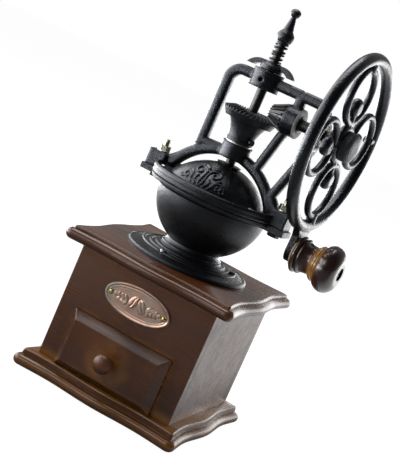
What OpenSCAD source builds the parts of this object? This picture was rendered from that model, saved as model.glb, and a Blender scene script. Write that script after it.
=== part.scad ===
// Hand coffee mill: a moulded wooden box with a drawer carries a cast bowl, a domed
// lid with a sliding door, and an open frame with a bevel gear pair and a crank wheel.
// The head (everything above the bowl's rim) stands a few degrees turned on the box.

/* [Wooden box] */
// Width of the box body over its side panels
box_w = 99; // [90:1:104]
// Depth of the box body over its front and back panels
box_d = 100; // [92:1:104]
// Height of the panels between the plinth and the top board
box_h = 77.1; // [72:0.5:95]
// Thickness of the panels
panel_t = 7; // [6:0.5:8]
// Overall width and depth of the plinth and of the top board
board_w = 123; // [116:1:130]
// Thickness of the plinth
plinth_h = 11.6; // [8:0.2:14]
// Thickness of the top board
top_h = 9.4; // [8:0.2:14]
// Depth of the two hollows in each wavy side of the boards
wave_depth = 2.2; // [0:0.2:5]
// Radius of the half-round edge of the boards
edge_r = 3.6; // [2.4:0.1:3.7]
// Radius of the boards' rounded corners, seen from above
board_corner = 5; // [2:0.5:12]
// Width of the oval name plate
plate_w = 48; // [40:1:56]
// Height of the oval name plate
plate_h = 22; // [18:1:26]
// Distance between the pins of the name plate
pin_span = 39; // [34:1:42]

/* [Drawer] */
// Width of the drawer front
drawer_w = 72; // [66:1:76]
// Height of the drawer front
drawer_h = 38.2; // [34:0.5:42]
// Whole thickness of the drawer front
drawer_front_t = 8.6; // [7:0.2:10]
// Width of the bevel round the drawer front
bevel_w = 5; // [3:0.5:7]
// Thickness of the drawer's sides, back and bottom
drawer_wall = 3; // [2.5:0.5:4]
// How far the drawer pulls out
drawer_travel = 70; // [40:1:75]
// Diameter of the drawer knob
knob_d = 12.6; // [10:0.2:16]

/* [Bowl and base disc] */
// Radius of the bowl
bowl_r = 37.2; // [34:0.2:40]
// Thickness of the bowl's wall
bowl_wall = 3.4; // [2.6:0.2:5]
// Height of the bowl's centre above the base disc
bowl_rise = 37; // [35:0.1:37.1]
// Radius of the cast rim round the bowl
rim_r = 44.4; // [42:0.2:48]
// Thickness of the bowl's rim
bowl_rim_t = 2.1; // [1.5:0.2:3.9]
// Radius of the base disc
disc_r = 41.4; // [38:0.2:46]
// Thickness of the base disc
disc_h = 7.2; // [6.8:0.1:8]
// Radius of the flared foot under the bowl
foot_r = 20.6; // [20:0.2:24]

/* [Dome and door] */
// Radius of the dome
dome_r = 39; // [38.5:0.1:39.2]
// Thickness of the dome's shell
dome_wall = 1.6; // [1.2:0.1:2]
// Thickness of the sliding door
door_t = 1; // [0.8:0.1:1.2]
// Half of the angle that the door covers
door_half = 34; // [24:1:36]

/* [Frame] */
// Turn of the whole head on the box
head_turn = -3.2; // [-8:0.2:8]
// Height of the drive shaft above the bowl's rim
shaft_rise = 64.6; // [63:0.1:66]
// Width of the frame's bars, seen from the front
bar_w = 7; // [5:0.1:7.4]
// Depth of the frame's bars, front to back
bar_d = 7.6; // [6:0.1:9]
// Corner radius of the bars' section
bar_round = 2.6; // [1:0.1:2.9]
// Distance of the left post from the spindle
post_x = 24.7; // [23.5:0.1:27]
// Distance of the right post from the spindle
right_post_x = 47; // [44:0.1:48]
// Inner radius of the arch over the dome
arch_r = 39.2; // [39:0.1:41]
// Radius of the two spindle hubs
hub_r = 10.2; // [9:0.1:11]
// Distance of the ear bolts from the spindle
ear_x = 46.8; // [46:0.1:49]
// Diameter of the ear bolts
ear_bolt_d = 4; // [3:0.5:5]

/* [Gears] */
// Teeth on the big bevel gear
gear_teeth = 40; // [36:4:44]
// Teeth on the pinion
pinion_teeth = 16; // [14:1:18]
// Outer radius of the big gear at its pitch line
gear_pitch_r = 18.2; // [17:0.1:18.4]
// Turn of the big gear's teeth between their two ends, in degrees
tooth_slant = 4; // [0:0.5:6]
// Distance of the pinion's large end from the spindle
pinion_end = 22.2; // [21:0.1:22.4]
// Distance of the pinion's small end from the spindle
pinion_start = 12; // [11.6:0.1:14]

/* [Spindle and adjuster] */
// Diameter of the spindle
spindle_d = 6.8; // [6:0.1:7.4]
// Span of the wing nut
wing_span = 34.6; // [28:0.2:40]
// Number of turns in the spring
spring_turns = 4.5; // [3:0.5:6]
// Wire diameter of the spring
spring_wire = 1.3; // [0.9:0.1:1.5]
// Mean radius of the spring
spring_r = 3.9; // [3.8:0.1:5]
// Radius of the inner burr at its lower end
burr_r = 13; // [11:0.2:14]
// Height of the inner burr
burr_h = 15; // [12:0.5:16]

/* [Crank wheel] */
// Distance of the wheel's middle plane from the spindle
wheel_x = 62.8; // [61:0.1:66]
// Radius of the wheel's rim at its middle
wheel_r = 55.7; // [54:0.1:58]
// Half thickness of the rim
rim_half = 4; // [3:0.1:4.5]
// Mean radius of the four loops
loop_r = 17.3; // [16:0.1:17.8]
// Distance of the loops' centres from the shaft
loop_x = 31.5; // [31:0.1:33]
// Half thickness of the loops
loop_half = 2.3; // [1.6:0.1:2.6]
// Turn of the loops from the crank arm
loop_turn = 8; // [-20:1:20]
// Distance of the handle pin from the shaft
crank_r = 73; // [70:0.1:78]
// Diameter of the drive shaft
drive_d = 7.2; // [6:0.1:8]
// Diameter of the pin that the handle turns on
handle_pin_d = 5; // [4:0.1:6]
// Length of the wooden handle
grip_len = 31; // [26:0.5:40]
// Radius of the handle at its widest
grip_r = 15.4; // [13:0.1:17]

/* [Clearances] */
// Gap between faces that slide or turn past each other
gap = 0.3; // [0.2:0.05:0.4]
// Radial clearance of a shaft in its bore
fit = 0.06; // [0.02:0.01:0.1]

/* [Hidden] */
$fn = 48;

// levels, from the floor up
box_z = plinth_h;
top_z = box_z + box_h;
disc_z = top_z + top_h;
foot_z = disc_z + disc_h;
bowl_z = foot_z + bowl_rise;
bowl_rim_z = bowl_z + 0.4;
head_z = bowl_rim_z + bowl_rim_t;
shaft_z = head_z + shaft_rise;

// box
groove_in = 0.9;
ovolo_in = 0.4;
ovolo_run = 1;
chute_r = 15;
drawer_box_w = drawer_w - 8;
drawer_box_h = drawer_h - 5;
drawer_kept = 12;
drawer_box_d = drawer_travel + drawer_kept;
drawer_z = box_z + gap;
drawer_back_y = -box_d / 2 - gap + drawer_box_d;
guide_w = 4;
knob_z = drawer_z + drawer_h / 2 - 0.6;
plate_z = box_z + box_h * 0.756;
plate_t = 1.4;
board_points = 20;
corner_steps = 5;

// base disc's screws
disc_seat_h = 4.2;
disc_screw_r = foot_r + 9.8;
disc_screw_head_r = 2.6;
disc_screw_angles = [18:120:258];
foot_screw_r = foot_r - 3.9;
foot_screw_angles = [30:120:270];

// bowl, ring and ears
ring_h = 6.4;
ring_in_r = 34.2;
ledge_z = head_z + 3.6;
ear_h = 11;
ear_d = 13;
ear_end = ear_x + 6.6;
ear_lip_h = 3.8;
ear_washer_r = ear_bolt_d * 1.1;
bolt_under = head_z - ear_lip_h;
burr_seat_r = burr_r + 5.2;
burr_ring_h = burr_h - 1;
burr_screw_r = burr_r + 3.7;
neck_r = foot_r - 2.2;
burr_seat_z = foot_z + 6.1;
ear_root = bowl_r - 1.2;
foot_thread = 5.2;
dome_z = head_z - 16.9;
dome_flange_r = 41.2;
dome_flange_t = 1.2;
dome_neck_r = 6;
dome_screw_angles = [30, 150, 210, 330];
door_in_r = dome_r + gap;

// frame
post_low_z = head_z + 28;
hub_low_z = head_z + 26.6;
hub_low_h = 10.2;
hub_top_z = head_z + 75.2;
hub_top_h = 11.8;
bar_z = hub_top_z + 6.2;
arch_z = head_z - 12.8;
corner_r = 8.6;
web_x = 27.4;
rib_x = 18.4;
strut_low_x = 34.6;
ear_in_x = 41;
boss_start = pinion_end + 1.0;
boss_end = boss_start + 9.7;
boss_r = 9.8;
outer_boss_start = right_post_x - 4.4;
outer_boss_end = right_post_x + 4.2;
outer_boss_r = 8.6;

// bevel pair: both pitch cones meet on the spindle axis at the shaft's height
ratio = pinion_teeth / gear_teeth;
pitch_slope = atan(ratio);
gear_toe_r = 12.4;
crown_back = 5;
gear_base_z = shaft_z - gear_pitch_r * ratio - crown_back;
washer_h = 0.9;
gear_low_z = hub_low_z + hub_low_h + washer_h + gap;
pinion_back = pinion_end + 0.5;
pinion_bore = 2.6;
pinion_pin_x = (pinion_start + pinion_end) / 2 + 2;
key_z = gear_low_z + 2;
key_h = 9;
key_w = 2;
key_out = 1.1;

// spindle line
spindle_r = spindle_d / 2;
thread_r = spindle_r - 0.6;
burr_step = 3;
burr_z = burr_seat_z + 0.8;
nut_z = hub_top_z + hub_top_h + gap;
wing_h = 6;
spring_z = nut_z + wing_h;
spring_h = 12;
coil_steps = 20;
wire_sides = 8;
finial_z = spring_z + spring_h;
finial_h = 24;

// crank
arm_t = 4.6;
arm_half = 7.4;
hub_half = loop_half + 0.3;
hub_face_x = wheel_x + hub_half;
hub_nut_r = 9.6;
hub_nut_depth = 5.5;
hub_thread_r = 2.4;
ball_x = 24.2;
grip_recess = 3.4;
grip_x = wheel_x + arm_t / 2 + 1.1;
pin_z = shaft_z - crank_r;

// ---------------------------------------------------------------- shared shapes

// A round-cornered bar section, w by d
module bar_section(w, d, r) {
    square([w - 2 * r, d], center = true);
    square([w, d - 2 * r], center = true);
    for (sx = [-1, 1], sy = [-1, 1])
        translate([sx * (w / 2 - r), sy * (d / 2 - r)]) circle(r = r);
}

// Straight frame bar between two points [x, z]
module bar(a, b, w = bar_w) {
    len = norm(b - a);
    translate([a[0], 0, a[1]])
        rotate([0, atan2(b[0] - a[0], b[1] - a[1]), 0])
            linear_extrude(len) bar_section(w, bar_d, bar_round);
}

// Curved frame bar about a centre [x, z], from angle a0 over sweep
module arc_bar(c, r, a0, sweep, w = bar_w) {
    translate([c[0], 0, c[1]])
        rotate([90, 0, 0])
            rotate([0, 0, a0])
                rotate_extrude(angle = sweep, $fn = 96)
                    translate([r, 0]) bar_section(w, bar_d, bar_round);
}

// Rounded end or joint of bars
module knuckle(c, w = bar_w) {
    translate([c[0], 0, c[1]])
        rotate([90, 0, 0])
            rotate_extrude()
                intersection() {
                    bar_section(w, bar_d, bar_round);
                    translate([0, -bar_d]) square([w, 2 * bar_d]);
                }
}

// Cylinder along +X from x0 to x1 at height z
module x_rod(x0, x1, r, z = shaft_z) {
    translate([x0, 0, z]) rotate([0, 90, 0]) cylinder(r = r, h = x1 - x0);
}

// Regular hexagon prism, across flats af
module hexagon(af, h) {
    cylinder(d = af / cos(30), h = h, $fn = 6);
}

// Slotted round screw head at the origin, facing +Z, with its shank below
module screw(head_r, head_h, shank_r, shank_l) {
    difference() {
        union() {
            cylinder(r = head_r, h = head_h * 0.55);
            translate([0, 0, head_h * 0.55]) cylinder(r1 = head_r, r2 = head_r * 0.72, h = head_h * 0.45);
        }
        translate([-head_r, -head_r * 0.13, head_h * 0.6]) cube([2 * head_r, head_r * 0.26, head_h]);
    }
    translate([0, 0, -shank_l]) cylinder(r = shank_r, h = shank_l);
}

// ---------------------------------------------------------------- wooden box

// How far a board's side lies inside its middle's line, at -1 to 1 along the side
function wave(u) = wave_depth * pow(sin(155 * abs(u)), 2);
function turned(p, a) = [p[0] * cos(a) - p[1] * sin(a), p[0] * sin(a) + p[1] * cos(a)];
// Outline of a board, inset by e: four wavy sides joined by round corners
function outline(e) =
    let (half = board_w / 2 - e, end = half - wave(1), r = max(board_corner - e, 1))
    [for (k = [0:3]) each concat(
        [for (i = [0:board_points]) let (u = -1 + 2 * i / board_points)
            turned([half - wave(u), u * (end - r)], 90 * k)],
        [for (i = [1:corner_steps - 1]) let (a = 90 * i / corner_steps)
            turned([end - r + r * cos(a), end - r + r * sin(a)], 90 * k)])];
// Moulding profile [inset, height]: half-round edge, a small groove, then an ovolo
function moulding(h) = concat(
    [for (a = [-90:22.5:90]) [edge_r * (1 - cos(a)), edge_r * (1 + sin(a))]],
    [[edge_r + groove_in, 2 * edge_r - 0.1], [edge_r + groove_in, 2 * edge_r + 0.4]],
    [for (a = [0:30:90]) let (rise = h - 2 * edge_r - 0.5)
        [edge_r + ovolo_in + ovolo_run * (1 - cos(a)), 2 * edge_r + 0.5 + rise * sin(a)]]);

// Wavy-sided board with a moulded edge, standing on z = 0
module moulded_board(h) {
    profile = moulding(h);
    rows = len(profile);
    n = 4 * (board_points + corner_steps);
    points = [for (p = profile, q = outline(p[0])) [q[0], q[1], p[1]]];
    sides = [for (r = [0:rows - 2], i = [0:n - 1])
        let (j = (i + 1) % n)
        [r * n + i, (r + 1) * n + i, (r + 1) * n + j, r * n + j]];
    polyhedron(points, concat(
        [[for (i = [0:n - 1]) i]],
        sides,
        [[for (i = [n - 1:-1:0]) (rows - 1) * n + i]]), convexity = 6);
}

module plinth_board() {
    color([0.26, 0.15, 0.09])
        difference() {
            moulded_board(plinth_h);
            for (sx = [-1, 1], sy = [-1, 1])
                translate([sx * (box_w - panel_t) / 2, sy * (box_d - panel_t) / 2, -1]) {
                    cylinder(r = 1.6, h = plinth_h + 2);
                    cylinder(r = 3.4, h = 4);
                }
        }
}

module top_board() {
    color([0.3, 0.17, 0.1])
        translate([0, 0, top_z])
            difference() {
                moulded_board(top_h);
                translate([0, 0, -1]) cylinder(r = chute_r, h = top_h + 2);
                for (a = disc_screw_angles)
                    rotate([0, 0, a]) translate([disc_screw_r, 0, top_h - 6.4]) cylinder(r = 1.4, h = 8);
                for (a = foot_screw_angles)
                    rotate([0, 0, a]) translate([foot_screw_r, 0, -1]) cylinder(r = 1.3, h = top_h + 2);
            }
}

module front_panel() {
    color([0.24, 0.14, 0.09])
        difference() {
            translate([-box_w / 2, -box_d / 2, box_z]) cube([box_w, panel_t, box_h]);
            translate([-drawer_box_w / 2 - gap, -box_d / 2 - 1, box_z - 1])
                cube([drawer_box_w + 2 * gap, panel_t + 2, drawer_box_h + 1 + 2 * gap + 1]);
            for (s = [-1, 1])
                translate([s * pin_span / 2, -box_d / 2 - 1, plate_z])
                    rotate([-90, 0, 0]) cylinder(r = 0.8, h = panel_t - 1);
            for (s = [-1, 1])
                translate([s * (box_w - panel_t) / 2, -(box_d - panel_t) / 2, box_z - 1])
                    cylinder(r = 1.6, h = 13);
        }
}

module back_panel() {
    color([0.24, 0.14, 0.09])
        difference() {
            translate([-box_w / 2, box_d / 2 - panel_t, box_z]) cube([box_w, panel_t, box_h]);
            for (s = [-1, 1])
                translate([s * (box_w - panel_t) / 2, (box_d - panel_t) / 2, box_z - 1])
                    cylinder(r = 1.6, h = 13);
        }
}

module side_panel(side) {
    x0 = side > 0 ? box_w / 2 - panel_t : -box_w / 2;
    translate([x0, -box_d / 2 + panel_t, box_z]) cube([panel_t, box_d - 2 * panel_t, box_h]);
}

module left_panel() {
    color([0.24, 0.14, 0.09]) side_panel(-1);
}

module right_panel() {
    color([0.24, 0.14, 0.09]) side_panel(1);
}

// Rails that the drawer runs between
module drawer_guides() {
    color([0.55, 0.42, 0.28])
        for (s = [-1, 1])
            translate([s * (drawer_box_w / 2 + gap + guide_w / 2), -box_d / 2 + panel_t, box_z])
                translate([-guide_w / 2, 0, 0]) cube([guide_w, box_d - 2 * panel_t, 14]);
}

// Wood screws up through the plinth into the corners of the panels
module box_screws() {
    color([0.5, 0.48, 0.42])
        for (sx = [-1, 1], sy = [-1, 1])
            translate([sx * (box_w - panel_t) / 2, sy * (box_d - panel_t) / 2, 3])
                rotate([180, 0, 0]) screw(3, 1.8, 1.55, plinth_h - 3 + 11);
}

function oval(a, b) = [for (i = [0:71]) [a * cos(5 * i), b * sin(5 * i)]];

module oval_plate() {
    color([0.66, 0.46, 0.38])
        translate([0, -box_d / 2, plate_z])
            rotate([90, 0, 0])
                difference() {
                    union() {
                        linear_extrude(plate_t * 0.6) polygon(oval(plate_w / 2, plate_h / 2));
                        linear_extrude(plate_t)
                            difference() {
                                polygon(oval(plate_w / 2, plate_h / 2));
                                polygon(oval(plate_w / 2 - 1.3, plate_h / 2 - 1.3));
                            }
                    }
                    for (s = [-1, 1])
                        translate([s * pin_span / 2, 0, -1]) cylinder(r = 0.8, h = plate_t + 2);
                }
}

module plate_pins() {
    color([0.78, 0.66, 0.35])
        for (s = [-1, 1])
            translate([s * pin_span / 2, -box_d / 2 - plate_t * 0.6, plate_z])
                rotate([90, 0, 0]) {
                    intersection() {
                        translate([0, 0, -0.9]) sphere(r = 1.9);
                        cylinder(r = 2, h = 2);
                    }
                    translate([0, 0, -5]) cylinder(r = 0.78, h = 6);
                }
}

// ---------------------------------------------------------------- drawer

// Raised front with a wide bevel on all four sides
module drawer_front() {
    w = drawer_w / 2;
    h = drawer_h;
    edge = drawer_front_t * 0.31;
    b = bevel_w;
    t = drawer_front_t;
    back = [[-w, 0, 0], [w, 0, 0], [w, 0, h], [-w, 0, h]];
    middle = [for (p = back) [p[0], -edge, p[2]]];
    front = [[-w + b, -t, b], [w - b, -t, b], [w - b, -t, h - b], [-w + b, -t, h - b]];
    color([0.22, 0.13, 0.09])
        difference() {
            translate([0, -box_d / 2 - gap, drawer_z])
                polyhedron(concat(back, middle, front), concat(
                    [[0, 1, 2, 3]],
                    [for (i = [0:3]) let (j = (i + 1) % 4) [i, i + 4, j + 4, j]],
                    [for (i = [0:3]) let (j = (i + 1) % 4) [i + 4, i + 8, j + 8, j + 4]],
                    [[11, 10, 9, 8]]));
            translate([0, -box_d / 2 + 1, knob_z]) rotate([90, 0, 0]) cylinder(r = 1.6, h = 20);
        }
}

module drawer_sides() {
    color([0.6, 0.46, 0.3])
        for (s = [0, 1])
            translate([s ? drawer_box_w / 2 - drawer_wall : -drawer_box_w / 2, -box_d / 2 - gap, drawer_z])
                cube([drawer_wall, drawer_box_d, drawer_box_h]);
}

module drawer_back() {
    color([0.6, 0.46, 0.3])
        translate([-drawer_box_w / 2 + drawer_wall, drawer_back_y - drawer_wall, drawer_z])
            cube([drawer_box_w - 2 * drawer_wall, drawer_wall, drawer_box_h]);
}

module drawer_bottom() {
    color([0.62, 0.48, 0.32])
        translate([-drawer_box_w / 2 + drawer_wall, -box_d / 2 - gap, drawer_z])
            cube([drawer_box_w - 2 * drawer_wall, drawer_box_d - drawer_wall, drawer_wall]);
}

// Mushroom knob: a domed cap on a waisted stem
module drawer_knob() {
    r = knob_d / 2;
    color([0.25, 0.13, 0.08])
        translate([0, -box_d / 2 - gap - drawer_front_t, knob_z])
            rotate([90, 0, 0])
                difference() {
                    rotate_extrude()
                        intersection() {
                            square([r, 13]);
                            union() {
                                difference() {
                                    square([4, 7]);
                                    translate([5.6, 3.4]) circle(r = 2.6);
                                }
                                translate([0, 6.4])
                                    intersection() {
                                        translate([0, -1.4]) circle(r = r + 0.4);
                                        square([r, 8]);
                                    }
                                translate([r - 1.4, 6.6]) circle(r = 1.4);
                                translate([0, 5.2]) square([r - 1.4, 3]);
                            }
                        }
                    translate([0, 0, -1]) cylinder(r = 1.6, h = 8);
                }
}

module knob_screw() {
    color([0.5, 0.5, 0.48])
        translate([0, -box_d / 2 - gap + 0.01, knob_z])
            rotate([-90, 0, 0]) screw(3, 1.6, 1.55, drawer_front_t + 6);
}

// ---------------------------------------------------------------- base disc and bowl

module base_disc() {
    color([0.1, 0.1, 0.1])
        translate([0, 0, disc_z])
            difference() {
                union() {
                    rotate_extrude($fn = 96)
                        polygon([[chute_r, 0], [disc_r, 0], [disc_r, 1.4], [disc_r - 0.5, 2.2],
                            [disc_r - 1.6, 2.7], [disc_r - 2.6, 2.5], [foot_r + 13.2, 3.9],
                            [foot_r + 5, 5], [foot_r + 0.6, disc_h - 0.6],
                            [foot_r + 0.2, disc_h], [chute_r, disc_h]]);
                    // raised rings, as [distance outside the foot, height]
                    for (ring = [[11.4, 4.2], [6.9, 4.8], [2.9, 5.5]])
                        translate([0, 0, ring[1]])
                            rotate_extrude($fn = 96) translate([foot_r + ring[0], 0]) circle(r = 0.95, $fn = 24);
                }
                for (a = disc_screw_angles)
                    rotate([0, 0, a]) translate([disc_screw_r, 0, 0]) {
                        translate([0, 0, -1]) cylinder(r = 1.5, h = disc_h + 2);
                        translate([0, 0, disc_seat_h]) cylinder(r = disc_screw_head_r + 0.4, h = disc_h);
                    }
                for (a = foot_screw_angles)
                    rotate([0, 0, a]) translate([foot_screw_r, 0, -1]) cylinder(r = 1.3, h = disc_h + 2);
            }
}

// Round-headed wood screws that hold the disc to the top board
module disc_screws() {
    color([0.35, 0.35, 0.35])
        for (a = disc_screw_angles)
            rotate([0, 0, a])
                translate([disc_screw_r, 0, disc_z + disc_seat_h])
                    screw(disc_screw_head_r, 1.8, 1.35, disc_seat_h + 5.2);
}

// Long screws up through the top board and the disc into the bowl's foot
module bowl_screws() {
    color([0.5, 0.48, 0.42])
        for (a = foot_screw_angles)
            rotate([0, 0, a])
                translate([foot_screw_r, 0, top_z])
                    rotate([180, 0, 0]) screw(2.6, 1.8, 1.25, top_h + disc_h + foot_thread - 0.4);
}

module bowl_ears() {
    for (s = [-1, 1])
        translate([s > 0 ? ear_root : -ear_end - 1.6, -ear_d / 2 - 0.8, head_z - ear_lip_h])
            cube([ear_end + 1.6 - ear_root, ear_d + 1.6, ear_lip_h]);
}

module bowl() {
    color([0.07, 0.07, 0.07])
        difference() {
            union() {
                intersection() {
                    translate([0, 0, bowl_z]) sphere(r = bowl_r, $fn = 96);
                    translate([0, 0, foot_z]) cylinder(r = bowl_r + 1, h = bowl_rise);
                }
                translate([0, 0, bowl_z - 0.01]) cylinder(r = bowl_r, h = head_z - bowl_z + 0.01, $fn = 96);
                translate([0, 0, foot_z])
                    rotate_extrude($fn = 96)
                        difference() {
                            square([foot_r, 12]);
                            translate([neck_r + 4.2, 4.9]) circle(r = 4.2);
                            translate([neck_r, 4.9]) square([5, 8]);
                        }
                rotate([0, 0, head_turn]) bowl_ears();
                translate([0, 0, bowl_rim_z])
                    rotate_extrude($fn = 96)
                        polygon([[bowl_r - 2, -2.4], [bowl_r, -2.4], [rim_r - 2.2, 0],
                            [rim_r - 0.8, 0], [rim_r - 0.4, bowl_rim_t], [bowl_r - 2, bowl_rim_t]]);
            }
            translate([0, 0, bowl_z]) sphere(r = bowl_r - bowl_wall, $fn = 96);
            translate([0, 0, bowl_z]) cylinder(r = bowl_r - bowl_wall, h = 10, $fn = 96);
            translate([0, 0, burr_seat_z]) cylinder(r = burr_seat_r + fit, h = 20, $fn = 96);
            translate([0, 0, disc_z]) cylinder(r = chute_r, h = 20);
            rotate([0, 0, head_turn])
                for (s = [-1, 1])
                    translate([s * ear_x, 0, head_z - 10]) cylinder(r = ear_bolt_d / 2 + fit, h = 20);
            for (a = foot_screw_angles)
                rotate([0, 0, a]) translate([foot_screw_r, 0, foot_z - 1]) cylinder(r = 1.3, h = foot_thread + 1);
            intersection() {
                burr_screw_holes(foot_z);
                translate([0, 0, burr_seat_z - 3]) cylinder(r = 30, h = 4);
            }
        }
}

// Fixed burr: a ring with a conical grinding face cut by slanted grooves
module outer_burr() {
    throat_r = burr_r - 2.4;
    color([0.32, 0.32, 0.33])
        translate([0, 0, burr_seat_z])
            difference() {
                cylinder(r = burr_seat_r, h = burr_ring_h, $fn = 96);
                translate([0, 0, -1]) cylinder(r = burr_r + 0.4, h = 2.2);
                translate([0, 0, 1]) cylinder(r1 = burr_r + 0.4, r2 = throat_r, h = burr_ring_h - 4);
                translate([0, 0, burr_ring_h - 3.2]) cylinder(r1 = throat_r, r2 = burr_r + 2, h = 3.4);
                for (a = [0:30:359])
                    rotate([0, 0, a])
                        translate([burr_r - 1.4, 0, burr_ring_h / 2])
                            rotate([28, -12, 45]) cube([1.6, 1.6, burr_ring_h + 6], center = true);
                burr_screw_holes(0);
            }
}

module burr_screw_holes(low_z) {
    for (a = [75:120:359])
        rotate([0, 0, a]) translate([burr_screw_r, 0, low_z - 1]) cylinder(r = 1.1, h = 30);
}

// Long screws that hold the burr ring down on its seat
module burr_screws() {
    color([0.45, 0.45, 0.45])
        for (a = [75:120:359])
            rotate([0, 0, a])
                translate([burr_screw_r, 0, burr_seat_z + burr_ring_h])
                    screw(1.5, 1.1, 1.05, burr_ring_h + 2.4);
}

// ---------------------------------------------------------------- frame casting

module frame_ring() {
    translate([0, 0, head_z])
        rotate_extrude($fn = 96)
            polygon([[ring_in_r, 0], [rim_r - 1, 0], [rim_r, 1], [rim_r, 2.4], [rim_r - 0.5, 3],
                [rim_r, 3.6], [rim_r + 0.1, 4.8], [rim_r - 0.5, ring_h], [rim_r - 1.8, ring_h],
                [rim_r - 2.6, ledge_z - head_z], [ring_in_r, ledge_z - head_z]]);
}

module frame_bars() {
    post_top = bar_z - corner_r;
    // left post, its corner and the top bar
    bar([-post_x, post_low_z - 2], [-post_x, post_top]);
    arc_bar([-post_x + corner_r, post_top], corner_r, 90, 90);
    bar([-post_x + corner_r, bar_z], [right_post_x - corner_r, bar_z]);
    // right post and the slanted strut below it
    arc_bar([right_post_x - corner_r, post_top], corner_r, 0, 90);
    bar([right_post_x, head_z + 54], [right_post_x, post_top], bar_w - 1);
    knuckle([right_post_x, head_z + 54], bar_w - 1);
    bar([strut_low_x, head_z + 15], [right_post_x, head_z + 54], bar_w - 1);
    // web, inner strut and the arch over the dome
    bar([web_x, shaft_z], [web_x, bar_z]);
    bar([rib_x, head_z + 28], [web_x, shaft_z], bar_w - 1);
    arc_bar([0, arch_z], arch_r + bar_w / 2, 26, 128);
    // ribs between the arch, the posts and the lower hub
    bar([-post_x, post_low_z + 1], [0, post_low_z + 2.4], bar_w - 1);
    bar([0, post_low_z + 2.4], [rib_x, head_z + 27], bar_w - 1);
    bar([-post_x, post_low_z - 6], [-ear_x + 5, head_z + 7], bar_w - 1);
    bar([strut_low_x, head_z + 16], [ear_x - 5, head_z + 8], bar_w);
    for (c = [[-post_x, post_low_z + 1], [-post_x, post_low_z - 5]]) knuckle(c);
    for (c = [[rib_x, head_z + 27.4], [strut_low_x, head_z + 15.4]]) knuckle(c, bar_w - 1);
}

module frame_casting() {
    color([0.09, 0.09, 0.09])
        rotate([0, 0, head_turn])
            difference() {
                union() {
                    difference() {
                        frame_bars();
                        // the dome turns under the arch, inside this ball
                        translate([0, 0, arch_z]) sphere(r = arch_r, $fn = 96);
                        translate([0, 0, head_z]) mirror([0, 0, 1]) cylinder(r = 60, h = 20);
                    }
                    translate([0, 0, hub_low_z]) cylinder(r = hub_r, h = hub_low_h);
                    translate([0, 0, hub_top_z]) cylinder(r = hub_r, h = hub_top_h);
                    x_rod(boss_start, boss_end, boss_r);
                    x_rod(outer_boss_start, outer_boss_end, outer_boss_r);
                    frame_ring();
                    for (s = [-1, 1])
                        translate([s > 0 ? ear_in_x : -ear_end, -ear_d / 2, head_z])
                            cube([ear_end - ear_in_x, ear_d, ear_h]);
                }
                // spindle bores with their bushes, and the drive shaft's bore
                translate([0, 0, hub_low_z - 1]) cylinder(r = spindle_r + 1.6, h = hub_low_h + 2);
                translate([0, 0, hub_top_z - 1]) cylinder(r = spindle_r + 1.6, h = hub_top_h + 2);
                x_rod(boss_start - 1, outer_boss_end + 1, drive_d / 2 + 1.4);
                // room for the pinion
                x_rod(pinion_start, boss_start, pinion_end * ratio + 1.1);
                // bolt holes in the ears, with flat seats for the nuts
                for (s = [-1, 1])
                    translate([s * ear_x, 0, head_z - 1]) {
                        cylinder(r = ear_bolt_d / 2 + fit, h = ear_h + 2);
                        translate([0, 0, ear_h + 1]) cylinder(r = ear_washer_r + gap, h = 6);
                    }
                // notch in the top bar above the web
                translate([web_x, 0, bar_z + bar_w / 2 + 0.7])
                    rotate([0, 45, 0]) cube([3.4, bar_d + 2, 3.4], center = true);
                // set screw hole in the upper hub
                translate([0, -hub_r - 1, hub_top_z + hub_top_h * 0.45])
                    rotate([-90, 0, 0]) cylinder(r = 1.5, h = 5);
                // screw holes of the dome's flange
                for (a = dome_screw_angles)
                    rotate([0, 0, a])
                        translate([dome_flange_r - 3, 0, head_z - 1]) cylinder(r = 1.1, h = 8);
            }
}

// Bronze bushes for the spindle
module hub_bushes() {
    color([0.6, 0.48, 0.26])
        for (p = [[hub_low_z, hub_low_h], [hub_top_z, hub_top_h]])
            translate([0, 0, p[0]])
                difference() {
                    cylinder(r = spindle_r + 1.6, h = p[1]);
                    translate([0, 0, -1]) cylinder(r = spindle_r + fit, h = p[1] + 2);
                }
}

// Bronze bushes for the drive shaft, in the inner boss and in the right post
module shaft_bushes() {
    color([0.6, 0.48, 0.26])
        rotate([0, 0, head_turn])
            difference() {
                union() {
                    x_rod(boss_start, boss_end, drive_d / 2 + 1.4);
                    x_rod(outer_boss_start, outer_boss_end, drive_d / 2 + 1.4);
                }
                x_rod(boss_start - 1, outer_boss_end + 1, drive_d / 2 + fit);
            }
}

module ear_bolts() {
    color([0.6, 0.58, 0.48])
        rotate([0, 0, head_turn])
            for (s = [-1, 1])
                translate([s * ear_x, 0, bolt_under]) {
                    mirror([0, 0, 1]) rotate([0, 0, 15]) hexagon(ear_bolt_d * 1.75, 2.6);
                    cylinder(r = ear_bolt_d / 2, h = ear_lip_h + ear_h + 8.4);
                }
}

module ear_nuts() {
    color([0.62, 0.6, 0.48])
        rotate([0, 0, head_turn])
            for (s = [-1, 1])
                translate([s * ear_x, 0, head_z + ear_h])
                    difference() {
                        union() {
                            cylinder(r = ear_washer_r, h = 0.8);
                            translate([0, 0, 0.8]) rotate([0, 0, 10]) hexagon(ear_bolt_d * 1.75, 3.4);
                        }
                        translate([0, 0, -1]) cylinder(r = ear_bolt_d / 2, h = 7);
                    }
}

// ---------------------------------------------------------------- dome and door

// Wedge that reaches from the axis outwards, half_a either side of angle a
module wedge(a, half_a, r, h) {
    rotate([0, 0, a])
        linear_extrude(h)
            polygon([[0, 0], [r, -r * tan(half_a)], [r, r * tan(half_a)]]);
}

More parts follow.
